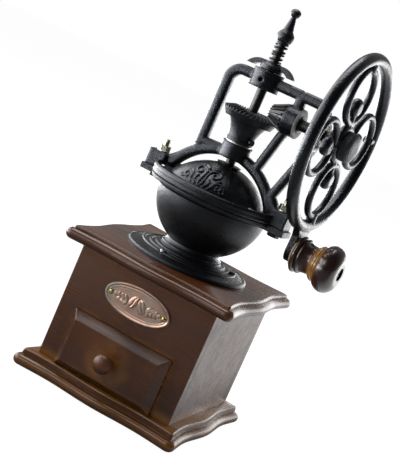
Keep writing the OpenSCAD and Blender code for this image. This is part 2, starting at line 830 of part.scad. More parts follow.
module dome_cover() {
    color([0.07, 0.07, 0.07])
        rotate([0, 0, head_turn])
            difference() {
                union() {
                    intersection() {
                        difference() {
                            translate([0, 0, dome_z]) sphere(r = dome_r, $fn = 96);
                            translate([0, 0, dome_z]) sphere(r = dome_r - dome_wall, $fn = 96);
                        }
                        translate([0, 0, ledge_z]) cylinder(r = dome_r, h = dome_r);
                    }
                    translate([0, 0, ledge_z])
                        difference() {
                            cylinder(r = dome_flange_r, h = dome_flange_t, $fn = 96);
                            translate([0, 0, -1]) cylinder(r = ring_in_r - 1.5, h = dome_flange_t + 2);
                        }
                }
                // opening for beans in the front, which the door covers
                translate([0, 0, ledge_z + dome_flange_t + 2.4])
                    difference() {
                        wedge(-90, door_half - 4, 60, dome_z + 34.5 - ledge_z - dome_flange_t - 2.4);
                        cylinder(r = 12, h = 40);
                    }
                translate([0, 0, dome_z]) cylinder(r = spindle_r + gap, h = dome_r + 5);
                // notches in the flange round the arch's feet
                for (s = [0, 180])
                    rotate([0, 0, s])
                        translate([arch_r - 4.2, -bar_d / 2 - 0.2, ledge_z - 1]) cube([8, bar_d + 0.4, 4]);
                for (a = dome_screw_angles)
                    rotate([0, 0, a])
                        translate([dome_flange_r - 3, 0, ledge_z - 1]) cylinder(r = 1.1, h = 4);
            }
}

module dome_screws() {
    color([0.3, 0.3, 0.3])
        rotate([0, 0, head_turn])
            for (a = dome_screw_angles)
                rotate([0, 0, a])
                    translate([dome_flange_r - 3, 0, ledge_z + dome_flange_t]) screw(2, 1.2, 1.05, 4);
}

// Sliding door: a slice of a larger sphere with a ring that turns round the dome's top
module bean_door() {
    low_z = ledge_z + dome_flange_t + gap;
    color([0.08, 0.08, 0.08])
        rotate([0, 0, head_turn])
            difference() {
                intersection() {
                    difference() {
                        translate([0, 0, dome_z]) sphere(r = door_in_r + door_t, $fn = 96);
                        translate([0, 0, dome_z]) sphere(r = door_in_r, $fn = 96);
                    }
                    union() {
                        translate([0, 0, low_z]) wedge(-90, door_half, 60, 40);
                        translate([0, 0, dome_z]) cylinder(r = dome_neck_r + 2.4, h = 60);
                    }
                    translate([0, 0, low_z]) cylinder(r = 60, h = 60);
                }
                translate([0, 0, dome_z]) cylinder(r = spindle_r + gap, h = dome_r + 5);
            }
}

// ---------------------------------------------------------------- drive shaft and pinion

module drive_shaft() {
    color([0.16, 0.16, 0.16])
        rotate([0, 0, head_turn])
            difference() {
                union() {
                    x_rod(pinion_back, hub_face_x, drive_d / 2);
                    x_rod(pinion_start + 0.4, pinion_back + 1, pinion_bore);
                    x_rod(hub_face_x - 1, hub_face_x + hub_nut_depth - 0.4, hub_thread_r);
                }
                pinion_pin_hole();
            }
}

// One corner of a bevel tooth, on the cone of pitch radius r about +Z with its apex
// at z = 0. Slope k is the fall of the pitch line per unit of radius, m the module.
function tooth_corner(n, i, r, k, m, twist = 0) =
    let (s = atan(k), q = i % 4, t = floor(i / 4))
    let (high = (q == 1 || q == 2) ? 1 : 0)
    let (half = high ? 0.12 : 0.27)
    let (a = 360 / n * (t + (q < 2 ? -half : half)) + twist)
    let (lift = m * (high ? 0.62 : -0.85), radius = r + lift * sin(s))
    [radius * cos(a), radius * sin(a), lift * cos(s) - r * k];

// Toothed crown of a bevel gear: n teeth between pitch radii r_toe and r on the same
// cone, with a plain back that narrows to back_r at depth back behind the large end.
// The teeth slant: their small ends are turned by twist against their large ends.
module bevel_crown(n, r, r_toe, k, back, back_r, turn, twist) {
    m = 2 * r / n;
    m_toe = 2 * r_toe / n;
    count = 4 * n;
    heel = [for (i = [0:count - 1]) tooth_corner(n, i, r, k, m)];
    toe = [for (i = [0:count - 1]) tooth_corner(n, i, r_toe, k, m_toe, twist)];
    cap_r = r_toe - 1.3 * m_toe;
    base = [for (p = heel) let (a = atan2(p[1], p[0])) [back_r * cos(a), back_r * sin(a), -r * k - back]];
    cap = [for (p = toe) let (a = atan2(p[1], p[0])) [cap_r * cos(a), cap_r * sin(a), -r_toe * k - m_toe]];
    rings = concat(base, heel, toe, cap);
    rotate([0, 0, turn])
        polyhedron(rings, concat(
            [[for (i = [0:count - 1]) i]],
            [for (g = [0:2], i = [0:count - 1]) let (j = (i + 1) % count, o = g * count)
                [o + i, o + i + count, o + j + count, o + j]],
            [[for (i = [count - 1:-1:0]) i + 3 * count]]), convexity = 8);
}

module pinion_pin_hole() {
    translate([pinion_pin_x, 0, shaft_z]) rotate([90, 0, 0]) cylinder(r = 0.75, h = 30, center = true);
}

module pinion() {
    heel_r = pinion_end * ratio;
    color([0.14, 0.14, 0.14])
        rotate([0, 0, head_turn])
            difference() {
                translate([0, 0, shaft_z])
                    rotate([0, -90, 0])
                        bevel_crown(pinion_teeth, heel_r, pinion_start * ratio, 1 / ratio,
                            pinion_back - pinion_end, heel_r - 2, 180 + 180 / pinion_teeth,
                            -tooth_slant / ratio);
                x_rod(pinion_start - 2, pinion_end + 2, pinion_bore);
                pinion_pin_hole();
            }
}

// Cross pin that fixes the pinion to the shaft
module pinion_pin() {
    color([0.4, 0.4, 0.4])
        rotate([0, 0, head_turn])
            translate([pinion_pin_x, 0, shaft_z])
                rotate([90, 0, 0]) cylinder(r = 0.75, h = 2 * pinion_pin_x * ratio - 2.6, center = true);
}

// Washer and set collar on the shaft, outside its boss
module shaft_washers() {
    washer_t = 0.5;
    collar_t = 0.9;
    color([0.4, 0.4, 0.38])
        rotate([0, 0, head_turn])
            difference() {
                union() {
                    x_rod(boss_end + gap, boss_end + gap + washer_t, drive_d / 2 + 1.6);
                    x_rod(boss_end + gap + washer_t, boss_end + gap + washer_t + collar_t, drive_d / 2 + 0.8);
                }
                x_rod(boss_end, boss_end + 4, drive_d / 2);
            }
}

// ---------------------------------------------------------------- crank wheel

// Places its children in the wheel's plane: local X runs along the shaft and
// local -Z points down to the handle
module on_wheel() {
    rotate([0, 0, head_turn]) translate([wheel_x, 0, shaft_z]) children();
}

// Flat round button about the local X axis, rounded at its edge
module button(r, t) {
    rotate([0, 90, 0])
        rotate_extrude()
            intersection() {
                bar_section(2 * r, t, t / 2 - 0.05);
                translate([0, -t]) square([r, 2 * t]);
            }
}

module wheel_loop() {
    translate([0, 0, loop_x])
        rotate([0, 90, 0]) rotate_extrude($fn = 72) translate([loop_r, 0]) circle(r = loop_half, $fn = 24);
    // neck between the loop and the rim, stem and ball inside the loop
    translate([0, 0, loop_x + loop_r - 1]) cylinder(r = loop_half + 1, h = wheel_r - loop_x - loop_r);
    translate([0, 0, 8]) cylinder(r = 2.2, h = ball_x - 8);
    translate([0, 0, ball_x]) button(6, 6.6);
}

module crank_wheel() {
    color([0.16, 0.16, 0.16])
        on_wheel()
            difference() {
                union() {
                    rotate([0, 90, 0])
                        rotate_extrude($fn = 120) translate([wheel_r, 0]) circle(r = rim_half, $fn = 32);
                    for (a = [0:90:270]) rotate([loop_turn + a, 0, 0]) wheel_loop();
                    button(13, 2 * hub_half);
                    translate([-7, 0, 0]) rotate([0, 90, 0]) cylinder(r = 8, h = 9);
                    translate([-arm_t / 2, 0, 0])
                        rotate([0, 90, 0])
                            linear_extrude(arm_t) {
                                polygon([[wheel_r - 1, -12], [wheel_r + 7, -arm_half],
                                    [crank_r, -arm_half], [crank_r, arm_half],
                                    [wheel_r + 7, arm_half], [wheel_r - 1, 12]]);
                                translate([crank_r, 0]) circle(r = arm_half);
                            }
                }
                translate([-10, 0, 0]) rotate([0, 90, 0]) cylinder(r = drive_d / 2, h = 20);
                translate([-10, 0, -crank_r]) rotate([0, 90, 0]) cylinder(r = handle_pin_d / 2, h = 20);
            }
}

module hub_nut() {
    color([0.12, 0.12, 0.12])
        on_wheel()
            translate([hub_half, 0, 0])
                rotate([0, 90, 0])
                    difference() {
                        rotate_extrude()
                            polygon([[0, 0], [hub_nut_r, 0], [hub_nut_r, 4.6], [hub_nut_r - 0.6, 5.8],
                                [hub_nut_r - 2, 6.6], [hub_nut_r - 5, 7], [0, 7]]);
                        translate([0, 0, -1]) cylinder(r = hub_thread_r, h = hub_nut_depth + 1);
                    }
}

// ---------------------------------------------------------------- handle

function arc_points(cx, cy, rx, ry, a0, a1, n) =
    [for (i = [0:n]) let (a = a0 + (a1 - a0) * i / n) [cx + rx * cos(a), cy + ry * sin(a)]];

// Turned outline of the handle as [radius, distance]: two beads, a waist and a bulb
module grip_outline() {
    v = grip_r / 15.4;
    u = grip_len / 31;
    polygon(concat(
        [[0, 0], [10.4 * v, 0]],
        arc_points(10.6 * v, 1.8 * u, 1.5 * v, 1.6 * u, -80, 80, 6),
        arc_points(10.2 * v, 5.1 * u, 1.3 * v, 1.4 * u, -80, 80, 6),
        [for (t = [0:30:180]) [(9.95 - 0.65 * sin(t / 2)) * v, (6.8 + t * 4.6 / 180) * u]],
        [for (t = [30:30:180]) [(10.6 - 1.3 * cos(t)) * v, (11.4 + t * 4.2 / 180) * u]],
        [[11.9 * v, 16.1 * u], [11.6 * v, 16.5 * u]],
        arc_points(7.4 * v, 23.4 * u, 8 * v, 7.6 * u, -56, 90, 18),
        [[0, 31 * u]]));
}

module grip() {
    color([0.3, 0.16, 0.08])
        rotate([0, 0, head_turn])
            translate([grip_x, 0, pin_z])
                rotate([0, 90, 0])
                    difference() {
                        rotate_extrude($fn = 96) grip_outline();
                        translate([0, 0, -1]) cylinder(r = handle_pin_d / 2 + fit, h = grip_len + 2);
                        translate([0, 0, grip_len - grip_recess]) cylinder(r = 4.4, h = grip_recess + 1);
                    }
}

// Shoulder screw that the handle turns on, riveted in the arm
module handle_pin() {
    pin_end = grip_x + grip_len - grip_recess + gap;
    color([0.2, 0.2, 0.2])
        rotate([0, 0, head_turn])
            difference() {
                union() {
                    x_rod(wheel_x - arm_t / 2, pin_end, handle_pin_d / 2, pin_z);
                    x_rod(wheel_x - arm_t / 2 - 1.2, wheel_x - arm_t / 2, handle_pin_d / 2 + 1.4, pin_z);
                    x_rod(pin_end, pin_end + 2, 4, pin_z);
                }
                translate([pin_end + 1.1, -5, pin_z - 0.6]) cube([2, 10, 1.2]);
            }
}

module grip_washer() {
    color([0.75, 0.7, 0.6])
        rotate([0, 0, head_turn])
            difference() {
                x_rod(wheel_x + arm_t / 2, grip_x - gap, 9.4, pin_z);
                x_rod(wheel_x, grip_x + 1, handle_pin_d / 2, pin_z);
            }
}

// ---------------------------------------------------------------- spindle line

module bevel_gear() {
    color([0.1, 0.1, 0.1])
        rotate([0, 0, head_turn])
            difference() {
                union() {
                    translate([0, 0, shaft_z])
                        bevel_crown(gear_teeth, gear_pitch_r, gear_toe_r, ratio,
                            crown_back, gear_pitch_r - 2.4, 0, tooth_slant);
                    // trumpet-shaped body under the crown
                    translate([0, 0, gear_low_z])
                        rotate_extrude($fn = 96)
                            polygon(concat(
                                [[0, 0], [9.2, 0], [9.2, 1.4]],
                                [for (t = [0.1:0.1:1]) [8.9 + 3.9 * t * t, 1.4 + t * (gear_base_z - gear_low_z - 1.4)]],
                                [[12.8, gear_base_z - gear_low_z + 0.4], [0, gear_base_z - gear_low_z + 0.4]]));
                }
                translate([0, 0, gear_low_z - 1]) cylinder(r = spindle_r + fit, h = 40);
                translate([spindle_r - 2, -key_w / 2 - fit, gear_low_z - 1])
                    cube([2 + key_out + fit, key_w + 2 * fit, key_h + 6]);
                rotate([0, 0, -25]) translate([0, 0, gear_low_z + 3.4])
                    rotate([0, 90, 0]) cylinder(r = 1.25, h = 20);
            }
}

// Set screw in the gear's neck
module gear_screw() {
    color([0.3, 0.3, 0.3])
        rotate([0, 0, head_turn - 25])
            translate([spindle_r + key_out + gap, 0, gear_low_z + 3.4])
                rotate([0, 90, 0])
                    difference() {
                        union() {
                            cylinder(r = 1.2, h = 5.3);
                            translate([0, 0, 5.3]) cylinder(r = 2, h = 1.6);
                        }
                        translate([-2.5, -0.35, 6.1]) cube([5, 0.7, 2]);
                    }
}

module thrust_washer() {
    color([0.5, 0.48, 0.4])
        translate([0, 0, hub_low_z + hub_low_h])
            difference() {
                cylinder(r = 8.4, h = 0.9);
                translate([0, 0, -1]) cylinder(r = spindle_r + gap, h = 3);
            }
}

module spindle() {
    color([0.12, 0.12, 0.12])
        rotate([0, 0, head_turn])
            difference() {
                union() {
                    translate([0, 0, burr_z - 5.4]) cylinder(r = 2.5, h = 12);
                    translate([0, 0, burr_z + burr_step])
                        cylinder(r = spindle_r, h = hub_top_z + hub_top_h - 1 - burr_z - burr_step);
                    translate([0, 0, hub_top_z + hub_top_h - 2])
                        cylinder(r = thread_r, h = finial_z - hub_top_z - hub_top_h + 2);
                    translate([0, 0, finial_z - 1]) cylinder(r = 2, h = 8);
                }
                translate([spindle_r - 1.2, -key_w / 2, key_z]) cube([2, key_w, key_h]);
            }
}

// Key that turns the spindle with the gear and lets it slide
module spindle_key() {
    color([0.4, 0.4, 0.4])
        rotate([0, 0, head_turn])
            translate([spindle_r - 1.2, -key_w / 2, key_z]) cube([1.2 + key_out - fit, key_w, key_h]);
}

// Turning burr: a cone with slanted cutting grooves
module inner_burr() {
    color([0.34, 0.34, 0.35])
        translate([0, 0, burr_z])
            difference() {
                union() {
                    cylinder(r = burr_r, h = 1.2, $fn = 96);
                    translate([0, 0, 1.2]) cylinder(r1 = burr_r, r2 = burr_r - 7, h = burr_h - 1.2, $fn = 96);
                }
                translate([0, 0, -1]) cylinder(r = 2.5, h = burr_h + 2);
                translate([0, 0, burr_step]) cylinder(r = spindle_r, h = burr_h);
                for (a = [0:36:359])
                    rotate([0, 0, a])
                        translate([burr_r - 3.1, 0, burr_h / 2 + 0.4])
                            rotate([-26, -27, 45]) cube([2, 2, burr_h + 6], center = true);
            }
}

module burr_nut() {
    color([0.5, 0.5, 0.48])
        translate([0, 0, burr_z - 4])
            difference() {
                hexagon(9, 4);
                translate([0, 0, -1]) cylinder(r = 2.5, h = 6);
            }
}

// Adjusting nut with two drooping wings
module wing_nut() {
    wing_out = 11.8;
    wing_t = 3.2;
    wing_x = wing_span / 2 - 10.4;
    color([0.12, 0.12, 0.12])
        rotate([0, 0, head_turn])
            translate([0, 0, nut_z])
                difference() {
                    union() {
                        rotate_extrude()
                            polygon([[0, 0], [7.4, 0], [7.7, 0.5], [7.7, 3.2], [6.4, 4.6], [5.2, 5],
                                [5, wing_h], [0, wing_h]]);
                        rotate([90, 0, 0])
                            linear_extrude(5.2, center = true)
                                for (s = [-1, 1])
                                    intersection() {
                                        translate([s * wing_x, -6.1])
                                            difference() {
                                                circle(r = wing_out);
                                                circle(r = wing_out - wing_t);
                                            }
                                        translate([s > 0 ? 5 : -wing_span / 2 - 1, 0.2])
                                            square([wing_span / 2 - 4, wing_h]);
                                    }
                    }
                    translate([0, 0, -1]) cylinder(r = thread_r + fit, h = wing_h + 2);
                }
}

// Coil spring between the wing nut and the finial, swept by a round wire
module tension_spring() {
    r = spring_wire / 2;
    n = spring_turns * coil_steps;
    rise = spring_h - 2 * r - 0.02;
    points = [for (i = [0:n], j = [0:wire_sides - 1])
        let (a = 360 * i / coil_steps, b = 360 * j / wire_sides, d = spring_r + r * cos(b))
        [d * cos(a), d * sin(a), r + 0.01 + rise * i / n + r * sin(b)]];
    color([0.3, 0.3, 0.3])
        translate([0, 0, spring_z])
            polyhedron(points, concat(
                [[for (j = [0:wire_sides - 1]) j]],
                [for (i = [0:n - 1], j = [0:wire_sides - 1]) let (k = (j + 1) % wire_sides)
                    [i * wire_sides + j, (i + 1) * wire_sides + j,
                        (i + 1) * wire_sides + k, i * wire_sides + k]],
                [[for (j = [wire_sides - 1:-1:0]) n * wire_sides + j]]), convexity = 10);
}

// Turned finial: a bulb, a long neck and a ball
module finial() {
    color([0.1, 0.1, 0.1])
        translate([0, 0, finial_z])
            difference() {
                rotate_extrude()
                    polygon(concat(
                        [[0, 0], [4.2, 0], [4.4, 0.8], [4.1, 1.2]],
                        arc_points(3.4, 5, 2.3, 3.6, -75, 60, 8),
                        [[3.4, 9.6], [3.1, 11], [2.5, 14], [1.9, 17.2], [1.8, 18.2]],
                        arc_points(0, finial_h - 3, 3.6, 3, -55, 90, 8)));
                translate([0, 0, -1]) cylinder(r = 2, h = 8);
            }
}

// ---------------------------------------------------------------- all pieces

plinth_board();
front_panel();
back_panel();
left_panel();
right_panel();
top_board();
drawer_guides();
box_screws();
oval_plate();
plate_pins();
base_disc();
disc_screws();
bowl();
bowl_screws();
outer_burr();
burr_screws();
frame_casting();
hub_bushes();
shaft_bushes();
ear_bolts();
ear_nuts();
dome_cover();
dome_screws();
bean_door();
drive_shaft();
pinion();
pinion_pin();
shaft_washers();
crank_wheel();
hub_nut();
handle_pin();
grip();
grip_washer();
bevel_gear();
gear_screw();
thrust_washer();
spindle();
spindle_key();
inner_burr();
burr_nut();
wing_nut();
tension_spring();
finial();
drawer_front();
drawer_sides();
drawer_back();
drawer_bottom();
drawer_knob();
knob_screw();
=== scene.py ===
import math

import bmesh
import bpy
import numpy as np
from bpy.props import FloatProperty, FloatVectorProperty, PointerProperty
from mathutils import Matrix, Vector


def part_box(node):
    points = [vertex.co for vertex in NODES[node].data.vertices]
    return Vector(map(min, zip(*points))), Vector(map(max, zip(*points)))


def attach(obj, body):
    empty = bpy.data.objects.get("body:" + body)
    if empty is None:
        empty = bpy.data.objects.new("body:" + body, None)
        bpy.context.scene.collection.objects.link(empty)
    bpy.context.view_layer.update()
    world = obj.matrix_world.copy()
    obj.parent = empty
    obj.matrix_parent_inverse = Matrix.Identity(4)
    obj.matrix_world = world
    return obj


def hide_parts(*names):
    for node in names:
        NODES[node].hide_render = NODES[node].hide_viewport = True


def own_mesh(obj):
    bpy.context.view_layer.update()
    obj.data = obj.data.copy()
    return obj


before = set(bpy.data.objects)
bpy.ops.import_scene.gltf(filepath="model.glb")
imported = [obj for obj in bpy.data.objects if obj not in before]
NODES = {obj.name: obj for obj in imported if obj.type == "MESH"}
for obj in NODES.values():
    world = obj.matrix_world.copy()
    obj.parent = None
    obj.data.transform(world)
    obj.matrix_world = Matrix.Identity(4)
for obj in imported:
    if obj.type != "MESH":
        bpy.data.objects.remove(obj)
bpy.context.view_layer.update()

bl_info = {
    "name": "Hand Coffee Mill",
    "version": (1, 0, 0),
    "blender": (4, 5, 0),
    "location": "3D View > Sidebar > Coffee Mill",
    "description": "Builds the looks of an antique-style hand coffee mill",
    "category": "Object",
}

MM = 0.001
# turn of the head on the box
HEAD_TURN = math.radians(-3.2)


def low_high(node):
    """Lowest and highest corner of a node, in millimetres."""
    low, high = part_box(node)
    return low / MM, high / MM


TOP_LOW, TOP_HIGH = low_high("top_board")
PLINTH_LOW, PLINTH_HIGH = low_high("plinth_board")
PLATE_LOW, PLATE_HIGH = low_high("oval_plate")
SPRING_LOW, SPRING_HIGH = low_high("tension_spring")


# ---------------- settings

class MillSizes(bpy.types.PropertyGroup):
    """Sizes of the details that the solids leave out."""
    relief_height: FloatProperty(
        name="Relief height", default=1.2, min=0.2, max=1.6,
        description="Height of the scroll relief on the dome, in millimetres")
    board_wave: FloatProperty(
        name="Board wave", default=2.2, min=0.0, max=5.0,
        description="Depth of the hollows in the boards' sides, in millimetres")
    board_round: FloatProperty(
        name="Board rounding", default=3.6, min=2.4, max=3.7,
        description="Radius of the boards' half-round edge, in millimetres")
    board_corner: FloatProperty(
        name="Board corners", default=5.0, min=2.0, max=12.0,
        description="Radius of the boards' corners seen from above, in millimetres")
    spring_turns: FloatProperty(
        name="Spring turns", default=4.5, min=3.0, max=6.0,
        description="Number of turns in the spring above the wing nut")
    spring_wire: FloatProperty(
        name="Spring wire", default=1.3, min=0.9, max=1.5,
        description="Diameter of the spring's wire, in millimetres")


class MillColours(bpy.types.PropertyGroup):
    """Base colours of the finishes."""
    stain: FloatVectorProperty(
        name="Wood stain", subtype="COLOR", default=(0.027, 0.0096, 0.0046), min=0, max=1,
        description="Dark tone of the stained wood")
    stain_red: FloatVectorProperty(
        name="Red wood stain", subtype="COLOR", default=(0.078, 0.0250, 0.0082), min=0, max=1,
        description="Warm tone of the stained wood's grain")
    # this gold also carries the painted highlight on the plinth's half-round
    worn_wood: FloatVectorProperty(
        name="Worn wood", subtype="COLOR", default=(0.24, 0.098, 0.014), min=0, max=1,
        description="Golden wood where the stain is thin")
    black_paint: FloatVectorProperty(
        name="Black paint", subtype="COLOR", default=(0.0055, 0.0057, 0.0068), min=0, max=1,
        description="Satin black on the castings")
    copper: FloatVectorProperty(
        name="Copper", subtype="COLOR", default=(0.44, 0.285, 0.22), min=0, max=1,
        description="Copper of the oval plate")
    patina: FloatVectorProperty(
        name="Patina", subtype="COLOR", default=(0.20, 0.21, 0.18), min=0, max=1,
        description="Grey-green patina on the oval plate")
    amber: FloatVectorProperty(
        name="Amber", subtype="COLOR", default=(0.33, 0.16, 0.035), min=0, max=1,
        description="Light tone at the handle's waist")


class MillStudio(bpy.types.PropertyGroup):
    """Light and camera."""
    key_power: FloatProperty(
        name="Right light", default=9.0, min=0, unit="POWER",
        description="Power of the soft light behind the right side")
    low_power: FloatProperty(
        name="Low light", default=3.2, min=0, unit="POWER",
        description="Power of the strip that shines along the right-hand mouldings")
    left_power: FloatProperty(
        name="Left light", default=12.0, min=0, unit="POWER",
        description="Power of the large soft light on the left")
    top_power: FloatProperty(
        name="Top light", default=7.5, min=0, unit="POWER",
        description="Power of the soft light overhead")
    front_power: FloatProperty(
        name="Front light", default=2.0, min=0, unit="POWER",
        description="Power of the small light in front, to the left")
    lens: FloatProperty(
        name="Lens", default=91.25, min=20, max=300,
        description="Focal length of the camera, in millimetres")


# ---------------- mesh helpers

def new_object(name, verts, faces):
    """Smooth mesh object from points in millimetres."""
    mesh = bpy.data.meshes.new(name)
    mesh.from_pydata([Vector(v) * MM for v in verts], [], faces)
    mesh.validate()
    obj = bpy.data.objects.new(name, mesh)
    bpy.context.scene.collection.objects.link(obj)
    edit = bmesh.new()
    edit.from_mesh(mesh)
    bmesh.ops.recalc_face_normals(edit, faces=edit.faces)
    edit.to_mesh(mesh)
    edit.free()
    mesh.shade_smooth()
    return obj


def ring_faces(rings, count):
    """Quads between stacked closed rings of count points each, with a face at both ends."""
    faces = []
    for r in range(rings - 1):
        for i in range(count):
            j = (i + 1) % count
            faces.append((r * count + i, r * count + j, (r + 1) * count + j, (r + 1) * count + i))
    faces.append(tuple(reversed(range(count))))
    faces.append(tuple((rings - 1) * count + i for i in range(count)))
    return faces


def keep_sharp(obj, degrees):
    """Smooth shading that breaks at edges steeper than the angle."""
    edit = bmesh.new()
    edit.from_mesh(obj.data)
    limit = math.radians(degrees)
    for edge in edit.edges:
        edge.smooth = len(edge.link_faces) == 2 and edge.calc_face_angle(0) < limit
    edit.to_mesh(obj.data)
    edit.free()


def cut(obj, cutter):
    """Cuts the cutter's shape out of the object and removes the cutter."""
    modifier = obj.modifiers.new("cut", "BOOLEAN")
    modifier.operation = "DIFFERENCE"
    modifier.object = cutter
    modifier.solver = "EXACT"
    bpy.context.view_layer.update()
    graph = bpy.context.evaluated_depsgraph_get()
    result = bpy.data.meshes.new_from_object(obj.evaluated_get(graph))
    obj.modifiers.clear()
    obj.data = result
    bpy.data.objects.remove(cutter)


def rod(name, start, end, radius, count=48):
    """Closed cylinder between two points, in millimetres."""
    start, end = Vector(start), Vector(end)
    along = (end - start).normalized()
    side = along.orthogonal().normalized()
    other = along.cross(side)
    verts = []
    for centre in (start, end):
        for i in range(count):
            a = 2 * math.pi * i / count
            verts.append(centre + side * radius * math.cos(a) + other * radius * math.sin(a))
    obj = new_object(name, verts, ring_faces(2, count))
    keep_sharp(obj, 40)
    return obj


# ---------------- shader helpers

class Shader:
    """Short way to place and link nodes in one tree."""

    def __init__(self, tree):
        self.nodes = tree.nodes
        self.links = tree.links

    def add(self, kind, **values):
        node = self.nodes.new(kind)
        for key, value in values.items():
            setattr(node, key, value)
        return node

    def link(self, a, b):
        self.links.new(a, b)

    def put(self, socket, value):
        """Links the value when it is a socket, and sets it otherwise."""
        if isinstance(value, bpy.types.NodeSocket):
            self.link(value, socket)
        else:
            socket.default_value = value

    def fill(self, node, **values):
        """Puts each value in the node's input of that name."""
        for key, value in values.items():
            self.put(node.inputs[key], value)
        return node

    def math(self, operation, a, b=0.5, clamp=False):
        node = self.add("ShaderNodeMath", operation=operation, use_clamp=clamp)
        self.put(node.inputs[0], a)
        self.put(node.inputs[1], b)
        return node.outputs[0]

    def mix(self, factor, a, b, kind="RGBA"):
        """Mixes two colours, or two numbers when the kind is FLOAT."""
        node = self.add("ShaderNodeMix", data_type=kind)
        first, out = (6, 2) if kind == "RGBA" else (2, 0)
        for socket, value in ((0, factor), (first, a), (first + 1, b)):
            self.put(node.inputs[socket], value)
        return node.outputs[out]

    def noise(self, vector, scale, detail=3.0, roughness=0.55, distortion=0.0):
        node = self.fill(self.add("ShaderNodeTexNoise"), Vector=vector, Scale=scale,
                         Detail=detail, Roughness=roughness, Distortion=distortion)
        return node.outputs["Fac"]

    def step(self, value, low, high, out_low=0.0, out_high=1.0):
        """Smooth step from out_low to out_high while the value goes from low to high."""
        node = self.add("ShaderNodeMapRange", interpolation_type="SMOOTHSTEP")
        self.put(node.inputs[0], value)
        for i, v in enumerate((low, high, out_low, out_high)):
            self.put(node.inputs[1 + i], v)
        return node.outputs[0]

    def band(self, value, fade_in, fade_out, peak):
        """Mask that reaches the peak over the first pair of values and 0 over the second."""
        rising = self.step(value, *fade_in, 0.0, peak)
        return self.math("MULTIPLY", rising, self.step(value, *reversed(fade_out)))

    def place(self, vector, scale=(1, 1, 1), rotation=(0, 0, 0)):
        node = self.add("ShaderNodeMapping")
        return self.fill(node, Vector=vector, Scale=scale, Rotation=rotation).outputs[0]

    def bump(self, principled, height, strength, distance, normal=None):
        """Bump on the shader's normal, over the rounded normal if one is given."""
        node = self.add("ShaderNodeBump")
        self.fill(node, Strength=strength, Distance=distance, Height=height)
        if normal:
            self.link(normal, node.inputs["Normal"])
        self.link(node.outputs[0], principled.inputs["Normal"])

    def axes(self, vector):
        """The vector's three parts."""
        node = self.add("ShaderNodeSeparateXYZ")
        self.link(vector, node.inputs[0])
        return node.outputs

    def where(self):
        """Place of the shaded point on its piece, in metres."""
        return self.add("ShaderNodeTexCoord").outputs["Object"]

    def seen(self, path):
        """1 for rays that come from the camera, straight or through glass."""
        return self.math("MAXIMUM", path["Is Camera Ray"], path["Is Transmission Ray"])

    def group(self, name, **values):
        node = self.add("ShaderNodeGroup")
        node.node_tree = GROUPS[name]
        return self.fill(node, **values)


GROUPS = {}


def new_group(name, inputs, outputs):
    """Empty shader group with named sockets."""
    tree = bpy.data.node_groups.new(name, "ShaderNodeTree")
    for label, kind, default in inputs:
        socket = tree.interface.new_socket(label, in_out="INPUT", socket_type=kind)
        if default is not None:
            socket.default_value = default
    for label, kind in outputs:
        tree.interface.new_socket(label, in_out="OUTPUT", socket_type=kind)
    GROUPS[name] = tree
    shader = Shader(tree)
    return shader, shader.add("NodeGroupInput").outputs, shader.add("NodeGroupOutput").inputs


FLOAT, VECTOR = "NodeSocketFloat", "NodeSocketVector"


def build_edge_group():
    """Mask that is 1 on sharp outer edges, broken up by noise, and the rounded normal."""
    s, i, o = new_group(
        "Edge Wear",
        [("Radius", FLOAT, 0.0006), ("Amount", FLOAT, 0.5), ("Breakup", FLOAT, 180.0)],
        [("Mask", FLOAT), ("Normal", VECTOR)])
    bevel = s.add("ShaderNodeBevel", samples=6)
    s.link(i["Radius"], bevel.inputs["Radius"])
    plain = s.add("ShaderNodeNewGeometry").outputs["Normal"]
    dot = s.add("ShaderNodeVectorMath", operation="DOT_PRODUCT")
    s.link(bevel.outputs[0], dot.inputs[0])
    s.link(plain, dot.inputs[1])
    edge = s.step(dot.outputs["Value"], 0.995, 0.90)
    grit = s.step(s.noise(s.where(), i["Breakup"], 4.0), 0.35, 0.65)
    s.link(s.math("MULTIPLY", s.math("MULTIPLY", edge, grit), i["Amount"], True), o["Mask"])
    s.link(bevel.outputs[0], o["Normal"])


def build_crevice_group():
    """Mask that is 1 in corners and joints."""
    s, i, o = new_group(
        "Crevice", [("Distance", FLOAT, 0.006), ("Breakup", FLOAT, 60.0)], [("Mask", FLOAT)])
    ao = s.add("ShaderNodeAmbientOcclusion", samples=8)
    s.link(i["Distance"], ao.inputs["Distance"])
    closed = s.step(ao.outputs["AO"], 0.85, 0.35)
    patch = s.step(s.noise(s.where(), i["Breakup"], 3.0), 0.3, 0.6, 0.35, 1.0)
    s.link(s.math("MULTIPLY", closed, patch, True), o["Mask"])


def build_timber_group():
    """Long grain, fine pores and slow patches of stained wood along the given axis."""
    s, i, o = new_group(
        "Timber",
        [("Vector", VECTOR, None), ("Grain", FLOAT, 55.0), ("Pores", FLOAT, 700.0)],
        [("Grain", FLOAT), ("Patch", FLOAT), ("Height", FLOAT)])
    stretched = s.place(i["Vector"], (0.09, 1.0, 1.0))
    rings = s.noise(stretched, i["Grain"], 4.0, 0.6, 1.4)
    fine = s.noise(s.place(i["Vector"], (0.035, 1.0, 1.0)), i["Pores"], 2.0, 0.5)
    pores = s.step(fine, 0.56, 0.72)
    patch = s.noise(i["Vector"], 14.0, 2.0, 0.5, 0.4)
    grain = s.math("ADD", s.math("MULTIPLY", rings, 0.75), s.math("MULTIPLY", fine, 0.25))
    s.link(s.step(grain, 0.36, 0.66), o["Grain"])
    s.link(s.step(patch, 0.35, 0.68), o["Patch"])
    s.link(s.math("SUBTRACT", s.math("MULTIPLY", rings, 0.5), pores), o["Height"])


